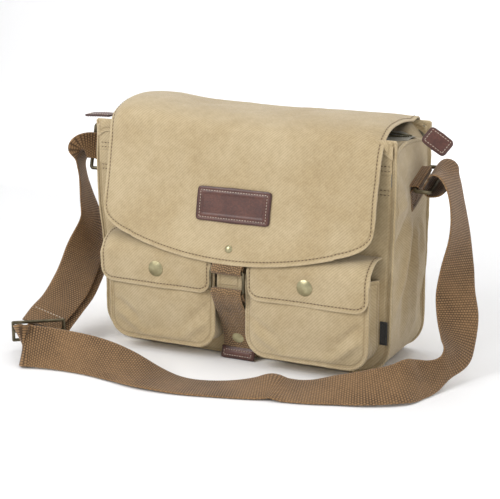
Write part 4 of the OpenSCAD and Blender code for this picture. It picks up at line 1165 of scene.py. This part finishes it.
def make_pocket(side, seed):
    """One front pocket, with its bellows, seam roll and stitches."""
    low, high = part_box(f"pocket_face_{side}")
    x0, x1 = low.x + (9 * MM if side == "left" else 0), high.x
    middle, half = (x0 + x1) / 2, (x1 - x0) / 2

    def face(x, z):
        across = (x - middle) / half
        up = np.clip((z - pocket_low) / (pocket_rim - pocket_low), 0, 1)
        crown = (1 - np.abs(across) ** 3) * np.sin(math.pi * np.clip(up * 0.9 + 0.06, 0, 1))
        d = 3.4 * MM * crown + 1.5 * MM * mist(x, z, 34 * MM, seed) + 0.6 * MM * mist(x, z, 14 * MM,
                                                                                      seed + 1)
        for start, end, deep in (((x0 + 8 * MM, pocket_low + 30 * MM), (x0 + 44 * MM, pocket_low + 8 * MM),
                                  1.5),
                                 ((x0 + 4 * MM, pocket_low + 46 * MM),
                                  (x0 + 40 * MM, pocket_low + 22 * MM), -1.1),
                                 ((x1 - 6 * MM, pocket_low + 34 * MM), (x1 - 42 * MM, pocket_low + 7 * MM),
                                  1.6),
                                 ((x1 - 4 * MM, pocket_low + 54 * MM),
                                  (x1 - 36 * MM, pocket_low + 26 * MM), -1.2),
                                 ((x0 + 30 * MM, pocket_low + 5 * MM), (x1 - 30 * MM, pocket_low + 9 * MM),
                                  0.9)):
            d = d + crease(x, z, start, end, 4.6 * MM, 2.3 * deep * MM)
        calm = ease(z, 74 * MM, 96 * MM)
        d = d * (1 - 0.8 * calm)
        edge = np.minimum(half - np.abs(x - middle), z - pocket_low + 4 * MM)
        return np.stack([x, pocket_front - d * ease(edge, -1 * MM, 9 * MM), z], -1)

    quarter = np.linspace(0, math.pi / 2, 12)
    z = np.concatenate([pocket_low + pocket_corner * (1 - np.cos(quarter)),
                        np.linspace(pocket_low + pocket_corner, pocket_rim, 50)[1:]])
    under = np.clip((pocket_low + pocket_corner - z) / pocket_corner, 0, 1)
    wide = half - pocket_corner + pocket_corner * np.sqrt(np.maximum(0, 1 - under**2))
    x = middle + (2 * bead_ends(84) - 1)[None, :] * wide[:, None]
    z = np.broadcast_to(z[:, None], x.shape)
    front = cloth(f"pocket_{side}_front_cloth", face(x, z), np.stack([x, -z], -1), 1.6 * MM,
                  (middle, -1, 0.06), CANVAS,
                  LINING)
    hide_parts(f"pocket_face_{side}")
    line = pocket_outline(x0, x1, 2.2 * MM, pocket_rim + 3 * MM)
    s = lengths(line)
    out = np.stack([unit(np.gradient(line, axis=0))[:, 2], -unit(np.gradient(line, axis=0))[:, 0]], -1)
    centre = np.array([middle, 0.06])
    out *= np.sign(((line[:, [0, 2]] - centre) * out).sum(axis=1, keepdims=True) + 1e-9)
    t = np.linspace(0, 1, 26)[None, :]
    upright = ease(line[:, 2], pocket_low + 4 * MM, pocket_low + 40 * MM)[:, None]
    fold = (2.0 + 5.5 * upright) * MM * np.sin(math.pi * t) ** 2
    fold = fold - 1.3 * MM * np.sin(math.pi * t) ** 0.5 * np.cos(2 * math.pi * t) ** 2
    depth = 0.9 * MM * mist(s[:, None], t * 30 * MM, 16 * MM, seed + 3) * np.sin(math.pi * t) - fold
    y = pocket_front + 1.0 * MM + t * (outer_y - pocket_front - 1.2 * MM)
    points = np.stack([line[:, :1] + depth * out[:, :1], np.broadcast_to(y, depth.shape),
                       line[:, 2:] + depth * out[:, 1:]], -1)
    flat = np.stack([np.broadcast_to(s[:, None], depth.shape), np.broadcast_to(y, depth.shape)], -1)
    if float((normals_of(points) * (points - np.array([middle, -0.07, 0.06]))).sum()) < 0:
        points, flat = points[:, ::-1], flat[:, ::-1]
    bellows = shell(f"pocket_{side}_bellows_cloth", points, flat, 1.3 * MM, CANVAS)
    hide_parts(f"pocket_bellows_{side}")
    seam_line = pocket_outline(x0, x1, 1.4 * MM, pocket_rim)
    s = lengths(seam_line)
    seam_line[:, 1] = pocket_front + 0.3 * MM + 0.25 * MM * mist(s, s * 0, 12 * MM, seed + 4)
    roll = tube(f"pocket_{side}_seam_roll", seam_line,
                1.55 * MM + 0.25 * MM * mist(s, s * 0, 6 * MM, seed + 5), 12, CANVAS)
    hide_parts(f"pocket_piping_{side}")
    runs = [seam(face, [(x0 + 3 * MM, pocket_rim - 9 * MM), (x1 - 3 * MM, pocket_rim - 9 * MM)],
                 (middle, -1, 0.06), 0.1 * MM)]
    sewn = stitches(f"pocket_{side}_stitches", runs, *FINE_STITCH)
    for made in (front, bellows, roll, sewn):
        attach(made, BODY)


LID_SIDE = np.array([(-55.9, 137.4, 0), (-64, 137.6, 0), (-75.5, 136.4, 0), (-84.5, 132.2, 0),
                     (-90.2, 126.6, 0),
                     (-93.0, 120.5, 0), (-93.8, 113, 0), (-93.7, 100, 0), (-93.7, 81.5, 0)]) * MM
lid_line = spline(LID_SIDE, 0.5 * MM)
lid_way = lengths(lid_line)
lid_thick = 2.0 * MM


def make_lid(side, seed):
    """The lid of one pocket, which is a sheet, and its stitches."""
    low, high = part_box(f"lid_{side}")
    middle, half = (low.x + high.x) / 2, (high.x - low.x) / 2
    snap_x = (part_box(f"lid_cap_{side}")[0].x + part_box(f"lid_cap_{side}")[1].x) / 2
    snap_z = (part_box(f"lid_cap_{side}")[0].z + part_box(f"lid_cap_{side}")[1].z) / 2
    corner = 16 * MM
    hanging = lid_line[:, 0] < -92.5 * MM

    def along_at(z):
        return np.interp(-np.asarray(z), -lid_line[hanging][:, 1], lid_way[hanging])

    def end_of(a):
        over = np.maximum(0, np.abs(a) - (half - corner))
        rise = corner - np.sqrt(np.maximum(0, corner**2 - over**2))
        return along_at(low.z + rise)

    def surface(a, s):
        a, s = np.broadcast_arrays(np.asarray(a, float), np.asarray(s, float))
        y, z = np.interp(s, lid_way, lid_line[:, 0]), np.interp(s, lid_way, lid_line[:, 1])
        more, less = s + 1 * MM, s - 1 * MM
        run = unit(np.stack([np.interp(more, lid_way, lid_line[:, 0])
                             - np.interp(less, lid_way, lid_line[:, 0]),
                             np.interp(more, lid_way, lid_line[:, 1])
                             - np.interp(less, lid_way, lid_line[:, 1])], -1))
        calm = patch_of_calm(middle + a, z, (snap_x, snap_z), (11 * MM, 11 * MM))
        loose = ease(s, 4 * MM, 26 * MM) * (1 - calm)
        d = loose * (0.9 * MM * mist(a, s, 40 * MM, seed) + 0.45 * MM * mist(a, s, 17 * MM, seed + 1))
        d += loose * 0.8 * MM * (1 - (a / half) ** 2)
        d += loose * ease(s, lid_way[-1] - 14 * MM, lid_way[-1]) * 0.8 * MM * np.sin(a / (15 * MM) + seed)
        d -= 4.0 * MM * ease(np.abs(a), half - 12 * MM, half + 4 * MM) * ease(s, 8 * MM,
                                                                              30 * MM) * (1
                                                                                          - ease(s,
                                                                                                 40 * MM,
                                                                                                 54 * MM))
        return np.stack([middle + a, y + d * run[..., 1], z - d * run[..., 0]], -1)

    a = (2 * bead_ends(90) - 1) * half
    t = np.linspace(0, 1, 52)[:, None]
    s = t * end_of(a)[None, :]
    a = np.broadcast_to(a, s.shape)
    lid = cloth(f"lid_{side}_cloth", surface(a, s), np.stack([a, s], -1), lid_thick, (middle, -0.5, 0.35),
                CANVAS, LINING)
    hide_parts(f"lid_{side}", f"lid_top_{side}")
    inset = 4 * MM
    across = np.linspace(-half + inset, half - inset, 60)
    lower = [(x, float(end_of(np.array([x]))[0]) - inset * 1.1) for x in across]
    down = [(across[0], v) for v in np.linspace(6 * MM, lower[0][1], 20)[:-1]]
    path = down + lower + [(across[-1], v) for _, v in down[::-1]]
    sewn = stitches(f"lid_{side}_stitches", [seam(surface, path, (middle, -0.6, 0.4), 0.05 * MM)],
                    *SEAM_STITCH)
    for made in (lid, sewn):
        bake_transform(made)


for pocket_side, pocket_seed in (("left", 51), ("right", 61)):
    make_pocket(pocket_side, pocket_seed)
    make_lid(pocket_side, pocket_seed + 20)


# ---------------------------------------------------------------- webbing closure and side tabs
closure_low, closure_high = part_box("closure_strap")
closure_half = (closure_high.x - closure_low.x) / 2
closure_middle = (closure_high.x + closure_low.x) / 2


def turned_ribbon(name, side_line, middle, half, thick, material, body, nodes, slot="webbing", **more):
    """Webbing that runs in the YZ plane at x = middle."""
    line = spline([(y * MM, z * MM, 0) for y, z in side_line], 0.55 * MM)
    centre = np.stack([np.full(len(line), middle), line[:, 0], line[:, 1]], -1)
    edge = np.broadcast_to(np.array([half, 0, 0]), centre.shape).copy()
    made = ribbon(name, centre, edge, thick, material, **more)
    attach(made, body)
    if nodes:
        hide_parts(*nodes)
    return centre


def make_closure():
    """The webbing of the closure and its leather tip."""
    ribs = dict(ribs=0.2 * MM, pitch=0.0023, columns=11)
    turned_ribbon("closure_tab_webbing",
                  [(-81.0, 158), (-88, 137), (-94.2, 121), (-98.6, 115.2), (-100.2, 111.5), (-98.2, 108.6),
                   (-95.4, 108.9),
                   (-93.9, 112), (-91.5, 121), (-85, 139), (-79.5, 157)],
                  closure_middle, closure_half, 1.7 * MM, CHEVRON, "flap_lower", ["closure_tab"], **ribs)
    turned_ribbon("closure_strap_webbing",
                  [(-88.6, 76.5), (-92.6, 83), (-94.2, 87.4), (-95.4, 90.6), (-98, 91.0), (-100.2, 88.2),
                   (-99.8, 84.8), (-96, 77),
                   (-89.2, 66.5), (-80.5, 52), (-73.6, 40.5), (-70.4, 33), (-68.2, 25), (-67.4, 16),
                   (-68.2, 9)],
                  closure_middle, closure_half, 1.9 * MM, CHEVRON, "closure", ["closure_strap"], **ribs)
    half = closure_half + 0.9 * MM
    foot, top = 2.6 * MM, 13.4 * MM

    def surface(a, b):
        z = foot + b
        y = np.interp(z, [0.0012, 0.009, 0.013], [-0.0722, -0.0700, -0.0690])
        inside = np.minimum(half - np.abs(a), np.minimum(b, top - foot - b))
        puff = 0.7 * MM * ease(inside, 0, 2.2 * MM) + 0.12 * MM * mist(a, b, 9 * MM, 92)
        return np.stack([closure_middle + a, y - puff, z], -1)

    a, b = np.meshgrid((2 * bead_ends(60) - 1) * half, bead_ends(26) * (top - foot))
    tip = cloth("closure_tip_leather", surface(a, b), np.stack([a, b], -1), 3.6 * MM,
                (closure_middle, -1, 0.02), LEATHER)
    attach(tip, "closure")
    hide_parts("closure_tip")
    w, h = half - 2.4 * MM, top - foot
    loop = [(-w, h - 2.4 * MM), (-w, 2.4 * MM), (w, 2.4 * MM), (w, h - 2.4 * MM), (-w, h - 2.4 * MM)]
    sewn = stitches("closure_tip_stitches", [seam(surface, loop, (closure_middle, -1, 0.02), 0.1 * MM)],
                    3.2 * MM, 2.1 * MM,
                    0.36 * MM, PALE_THREAD)
    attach(sewn, "closure")


make_closure()


def make_side_tab(side):
    """A webbing loop sewn to a gusset, round the inner bar of the side ring."""
    sign = 1 if side == "right" else -1
    joint = next(j for j in frame["joints"] if j["name"] == f"ring_{side}_swing")
    pivot = np.array(joint["pos_m"], float)
    bar = unit(np.array(joint["axis"], float))
    out = np.array([sign, 0.0, 0.0])
    fall = unit(np.cross(bar, out)) * 1.0
    if fall[2] > 0:
        fall = -fall
    reach = abs(pivot[0]) - half_width
    loop = 3.35 * MM
    path = [(-reach + 0.7 * MM, -30 * MM), (-reach + 0.6 * MM, -14 * MM), (-reach + 1.2 * MM, -5 * MM)]
    path += [(-reach * 0.5, -loop * 0.75), (0.0, -loop), (loop * 0.75, -loop * 0.75), (loop, 0.0),
             (loop * 0.75, loop * 0.75),
             (0.0, loop), (-reach * 0.5, loop * 0.8), (-reach + 0.6 * MM, loop * 0.9)]
    path = [(p, -q) for p, q in path]
    line = spline([(*p, 0) for p in path], 0.6 * MM)
    centre = pivot + line[:, :1] * out + line[:, 1:2] * fall
    edge = np.broadcast_to(bar * 23 * MM, centre.shape).copy()
    tab = ribbon(f"side_tab_{side}_webbing", centre, edge, 1.8 * MM, STRAP, ribs=0.2 * MM, columns=11)
    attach(tab, BODY)
    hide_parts(f"side_tab_{side}")
    base = pivot - out * (reach - 1.8 * MM)
    corners = [(-19, 7), (19, 7), (19, 26), (-19, 26), (-19, 7)]
    corner_points = [base + bar * u * MM + fall * v * MM for u, v in corners]
    line = evenly(np.array(corner_points), 1.2 * MM)
    cross = evenly(np.array([corner_points[0], corner_points[2]]), 1.2 * MM)
    other = evenly(np.array([corner_points[1], corner_points[3]]), 1.2 * MM)
    runs = [(r, np.broadcast_to(out, r.shape)) for r in (line, cross, other)]
    sewn = stitches(f"side_tab_{side}_stitches", runs, 3.2 * MM, 2.3 * MM, 0.42 * MM, BROWN_THREAD)
    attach(sewn, BODY)


for tab_side in ("left", "right"):
    make_side_tab(tab_side)


# ---------------------------------------------------------------- the zipped top
zip_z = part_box("zip_tape_front")[0].z + 0.6 * MM
MOUTH = [(-184, -1.1), (-146, -1.1), (-118, -36), (122, -36), (150, -14), (180, -1.1), (184, -1.1)]
mouth_x = np.array([p[0] for p in MOUTH]) * MM
mouth_y = np.array([p[1] for p in MOUTH]) * MM


def mouth_line(x):
    """The inner edge of the front tape: smoothed so that the open zip curves."""
    offsets = np.linspace(-9 * MM, 9 * MM, 7)
    share = np.hanning(9)[1:-1] / np.hanning(9)[1:-1].sum()
    return sum(w * np.interp(np.asarray(x) + o, mouth_x, mouth_y) for w, o in zip(share, offsets))


def top_surface(x, t, way):
    """The facing and tape on one side of the mouth, from the panel to the teeth; way -1 is the front."""
    x, t = np.broadcast_arrays(np.asarray(x, float), np.asarray(t, float))
    edge_y = front_y if way < 0 else back_y
    top = (front_top if way < 0 else back_top) - 2.5 * MM
    near_end = ease(np.abs(x), half_width - 22 * MM, half_width)
    outer_z = top * (1 - near_end) + (gusset_top - 1 * MM) * near_end
    outer_y_here = edge_y - way * (1.6 * MM + 2.5 * MM * near_end)
    inner_y = np.where(way < 0, mouth_line(x), -mouth_line(x))
    slack = 1 - near_end
    y = outer_y_here + (inner_y - outer_y_here) * t
    z = outer_z + (zip_z - outer_z) * ease(t, 0, 1)
    z = z - 3.2 * MM * np.sin(math.pi * t) * slack
    z = z + slack * np.sin(math.pi * t) * (1.6 * MM * mist(x, t * 30 * MM, 16 * MM, 95 + way)
                                           + 0.6 * MM * mist(x, t * 20 * MM, 7 * MM, 97))
    heap = slack * ease(x, 40 * MM, 130 * MM) * (way > 0) * np.sin(math.pi * np.clip(t * 1.1, 0, 1))
    z = z + heap * (5 * MM + 2.2 * MM * mist(x, t * 12 * MM, 10 * MM, 99))
    return np.stack([x, y, z], -1)


def make_top():
    """The facings and tapes of the top zip."""
    x = np.linspace(-half_width + 1.2 * MM, half_width - 1.2 * MM, 220)
    for label, way in (("front", -1), ("back", 1)):
        wide = np.abs(np.where(way < 0, front_y, back_y) - np.where(way < 0, mouth_line(x), -mouth_line(x)))
        share = 1 - np.minimum(0.5, 13 * MM / wide)
        t = np.linspace(0, 1, 16)[:, None] * (share + 0.03)[None, :]
        grid_x = np.broadcast_to(x, t.shape)
        points = top_surface(grid_x, t, way)
        facing = cloth(f"{label}_facing_cloth", points, np.stack([grid_x, t * wide], -1), 1.0 * MM,
                       (0, 0, 1), CANVAS, LINING)
        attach(facing, BODY)
        t = share[None, :] + np.linspace(0, 1, 9)[:, None] * (1 - share)[None, :]
        grid_x = np.broadcast_to(x, t.shape)
        points = top_surface(grid_x, t, way)
        points[..., 2] += 0.7 * MM
        tape = cloth(f"{label}_zip_tape", points, np.stack([grid_x, t * wide], -1), 0.8 * MM, (0, 0, 1),
                     TAPE)
        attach(tape, BODY)
        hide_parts(f"zip_tape_{label}")
        make_teeth(label, way)


def row_of_teeth(name, line, up, inward, body, nodes, pitch=2.4 * MM, size=(1.5, 2.6, 1.7)):
    """Small rounded metal teeth along a line."""
    line = evenly(line, pitch)
    along = unit(np.gradient(line, axis=0))
    points, faces = [], []
    shape = [(-0.5, -0.35), (-0.35, -0.5), (0.35, -0.5), (0.5, -0.35), (0.5, 0.35), (0.35, 0.5),
             (-0.35, 0.5), (-0.5, 0.35)]
    for spot, run in zip(line, along):
        side = unit(np.cross(up, run)) * inward
        base = len(points)
        for height, share in ((-0.5, 0.8), (-0.25, 1.0), (0.25, 1.0), (0.5, 0.75)):
            for u, v in shape:
                points.append(spot + run * u * size[0] * MM * share + side * v * size[1] * MM * share
                              + np.array(up) * height * size[2] * MM)
        faces += [tuple(base + f) for f in grid_faces(4, 8, 0, False, True)]
        faces += [tuple(base + k for k in range(7, -1, -1)), tuple(base + 24 + k for k in range(8))]
    made = piece(name, np.array(points), faces, [TEETH])
    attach(made, body)
    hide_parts(*nodes)


def make_teeth(label, way):
    """The teeth on one side of the top zip."""
    x = np.linspace(-half_width + 4 * MM, half_width - 4 * MM, 500)
    y = np.where(way < 0, mouth_line(x), -mouth_line(x))
    line = np.stack([x, y + way * 1.0 * MM, np.full(len(x), zip_z + 1.9 * MM)], -1)
    line[:, 0] += 1.2 * MM * (way > 0)
    row_of_teeth(f"{label}_zip_teeth", line, (0, 0, 1), way, BODY, [f"zip_teeth_{label}"])


make_top()


def make_front_zip():
    """The tape and teeth of the zip on the front."""
    low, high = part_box("front_zip_tape")
    x, z = np.meshgrid(np.linspace(low.x, high.x, 160), np.linspace(low.z, high.z, 9))
    wave = 0.2 * MM * mist(x, z, 14 * MM, 98)
    tape = cloth("front_zip_tape_cloth", np.stack([x, low.y - wave, z], -1), np.stack([x, z], -1),
                 0.7 * MM, (0, -1, 0.22), TAPE)
    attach(tape, BODY)
    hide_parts("front_zip_tape")
    teeth_low, teeth_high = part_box("front_zip_teeth")
    middle_z = (teeth_low.z + teeth_high.z) / 2
    x = np.linspace(teeth_low.x, teeth_high.x, 300)
    line = np.stack([x, np.full(len(x), low.y - 0.7 * MM), np.full(len(x), middle_z)], -1)
    row_of_teeth("front_zip_teeth_row", line, (0, -1, 0), 1, BODY, ["front_zip_teeth"], 1.9 * MM,
                 (1.3, 3.4, 1.3))


make_front_zip()


def make_zip_covers():
    """Canvas folded over the blind ends of the front zip."""
    wide = half_width - 3.6 * MM
    tape_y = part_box("front_zip_tape")[0].y
    for label, start, end in (("left", -wide, -146 * MM), ("right", 146 * MM, wide)):
        x, z = np.meshgrid(np.linspace(start, end, 24), np.linspace(213 * MM, 230.5 * MM, 24))
        tuck = 0.9 * MM * np.exp(-(((z - 227.5 * MM) / (1.0 * MM)) ** 2)) + 0.2 * MM * mist(x, z, 9 * MM,
                                                                                            120)
        cover = cloth(f"front_zip_cover_{label}", np.stack([x, tape_y - 1.5 * MM + tuck, z], -1),
                      np.stack([x, -z], -1),
                      0.8 * MM, ((start + end) / 2, -1, 0.222), CANVAS, rims=False)
        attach(cover, BODY)


def make_backing():
    """The canvas tongue behind the closure's ring."""
    x, z = np.meshgrid(np.linspace(closure_middle - 15 * MM, closure_middle + 15 * MM, 26),
                       np.linspace(90 * MM, 124 * MM, 30))
    y = np.interp(z, [0.09, 0.112, 0.124], [-0.0915, -0.0908, -0.0872]) + 0.25 * MM * mist(x, z, 10 * MM,
                                                                                           121)
    backing = cloth("closure_backing_cloth", np.stack([x, y, z], -1), np.stack([x, -z], -1), 1.2 * MM,
                    (closure_middle, -1, 0.1), CANVAS)
    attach(backing, "flap_lower")


make_zip_covers()
make_backing()


# ---------------------------------------------------------------- leather ends of the main zip
def make_zip_end(side, place, turns):
    """Leather folded round the tape's end; place is its root and turns its tilts in degrees."""
    sign = 1 if side == "right" else -1
    long, wide, thick = (30 * MM if side == "right" else 36 * MM), 21 * MM, 3.2 * MM
    tilt, roll = turns
    stand = Matrix.Rotation(math.radians(tilt), 3, "Y") @ Matrix.Rotation(math.radians(roll), 3, "X")
    stand = np.array(stand)

    def placed(points):
        points = points @ stand.T
        points[..., 0] *= sign
        return points + np.array(place)

    def surface_on(face):
        def surface(a, b):
            inside = np.minimum(np.minimum(a, long - a), wide / 2 - np.abs(b))
            puff = (thick / 2 - 0.7 * MM) + 0.7 * MM * ease(inside, 0, 2.6 * MM)
            puff = puff - 0.3 * MM * np.exp(-(((inside - 3 * MM) / (0.9 * MM)) ** 2))
            puff = puff + 0.35 * MM * mist(a, b, 12 * MM, 101 + (face > 0)) * ease(inside, 0, 4 * MM)
            curl = 1.2 * MM * (a / long) ** 2
            return placed(np.stack([a, b, face * puff - curl], -1))
        return surface

    for label, face in (("outer", 1), ("inner", -1)):
        surface = surface_on(face)
        grid_a, grid_b = rounded_grid(long, wide, 4.5 * MM, 30, 46)
        grid_a = grid_a + long / 2
        points = surface(grid_a, grid_b)
        away = placed(np.array([long / 2, 0.0, face * 0.2]))
        leaf = cloth(f"zip_end_{side}_{label}_leather", points, np.stack([grid_a, grid_b], -1), 1.5 * MM,
                     away, LEATHER)
        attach(leaf, f"end_tab_{side}")
        if face > 0:
            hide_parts(f"zip_end_{side}")
        m, w = 3 * MM, wide / 2 - 3 * MM
        loop = [(m, -w), (long - m, -w), (long - m, w), (m, w), (m, -w)]
        sewn = stitches(f"zip_end_{side}_{label}_stitches", [seam(surface, loop, away, 0.12 * MM)],
                        3.4 * MM, 2.2 * MM,
                        0.42 * MM, PALE_THREAD)
        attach(sewn, f"end_tab_{side}")


end_z = next(j["pos_m"][2] for j in frame["joints"] if j["name"] == "end_tab_left_bend")
end_x = next(j["pos_m"][0] for j in frame["joints"] if j["name"] == "end_tab_right_bend")
make_zip_end("left", (-end_x, 0.0, end_z), (0, 0))
make_zip_end("right", (end_x + 4 * MM, 0.0, end_z + 6 * MM), (32, 58))


def make_label():
    """The label at the side, which is blank."""
    low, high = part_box("side_label")

    def surface(a, b):
        curl = 0.8 * MM * (a / (high.x - low.x)) ** 2 + 0.2 * MM * mist(a, b, 9 * MM, 111)
        return np.stack([low.x + a, high.y - 1.0 * MM - curl, low.z + b], -1)

    a, b = np.meshgrid(np.linspace(0, high.x - low.x, 16), np.linspace(0, high.z - low.z, 36))
    label = cloth("side_label_cloth", surface(a, b), np.stack([a, b], -1), 0.7 * MM, (low.x, -1, low.z),
                  LABEL)
    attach(label, BODY)
    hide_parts("side_label")


make_label()


# ---------------------------------------------------------------- metal parts keep their CAD shapes
METAL_NODES = [
    "lid_stud_left", "lid_stud_right", "closure_stud", "tri_glide", "flap_rivet", "closure_ring",
    "closure_cap",
    "closure_socket", "lid_cap_left", "lid_cap_right", "lid_socket_left", "lid_socket_right", "zip_slider",
    "zip_pull",
    "front_zip_slider", "front_zip_pull", "ring_left", "ring_right",
]


# painted shade: these parts get the darker copy of the brass for the shade they sit in
SHADED_NODES = {"tri_glide", "closure_ring", "ring_left", "ring_right", "zip_slider", "front_zip_slider",
              "zip_pull"}


def dress_metal():
    """The metal nodes of the frame in brass, with a darker copy of it as painted shade on the parts that
    sit in shade.
    """
    for name in METAL_NODES:
        node = frame["nodes"][name]
        node.data.materials.clear()
        node.data.materials.append(SHADED_BRASS if name in SHADED_NODES else BRASS)


dress_metal()


# ---------------------------------------------------------------- floor and studio light
def make_stage():
    """The pale floor, which curves up behind the bag."""
    material, _, surface = new_material("pale_floor")
    surface.inputs["Base Color"].default_value = (0.93, 0.93, 0.935, 1)
    surface.inputs["Roughness"].default_value = 0.7
    surface.inputs["Specular IOR Level"].default_value = 0.2
    mesh = bpy.data.meshes.new("floor")
    reach, rise, round_off = 3.0, 2.5, 0.8
    rows = [(-reach, 0.0)] + [(1.6, 0.0)]
    rows += [(1.6 + round_off * math.sin(t), round_off * (1 - math.cos(t)))
             for t in np.linspace(0.1, math.pi / 2, 12)]
    rows += [(1.6 + round_off, rise)]
    points = [(x, y, z) for y, z in rows for x in (-reach, reach)]
    faces = [(2 * i, 2 * i + 1, 2 * i + 3, 2 * i + 2) for i in range(len(rows) - 1)]
    mesh.from_pydata(points, [], faces)
    mesh.materials.append(material)
    mesh.polygons.foreach_set("use_smooth", [True] * len(mesh.polygons))
    floor = bpy.data.objects.new("floor", mesh)
    bpy.context.scene.collection.objects.link(floor)


def area_light(name, spot, target, size, power, colour=(1, 1, 1)):
    """A rectangular lamp at spot that points at target."""
    data = bpy.data.lights.new(name, "AREA")
    data.shape, data.size, data.size_y = "RECTANGLE", size[0], size[1]
    data.energy, data.color = power, colour
    light = bpy.data.objects.new(name, data)
    light.location = spot
    light.rotation_euler = (Vector(target) - Vector(spot)).to_track_quat("-Z", "Y").to_euler()
    bpy.context.scene.collection.objects.link(light)


def make_light():
    """The lamps and the light all round."""
    world = bpy.data.worlds.new("studio")
    world.use_nodes = True
    world.node_tree.nodes["Background"].inputs[0].default_value = (1.0, 1.0, 1.0, 1)
    world.node_tree.nodes["Background"].inputs[1].default_value = 0.55
    bpy.context.scene.world = world
    middle = (0.0, 0.0, 0.12)
    area_light("key", (-1.0, -1.8, 1.5), middle, (1.3, 1.3), 33)
    area_light("fill", (1.9, -1.0, 1.0), middle, (1.6, 1.6), 10)
    area_light("backdrop", (0.0, 0.75, 1.0), (0.0, 2.4, 0.8), (3.0, 1.2), 22)
    area_light("top", (0.0, 0.2, 2.4), middle, (2.0, 2.0), 17)
    bpy.context.scene.view_settings.view_transform = "Standard"


make_stage()
make_light()
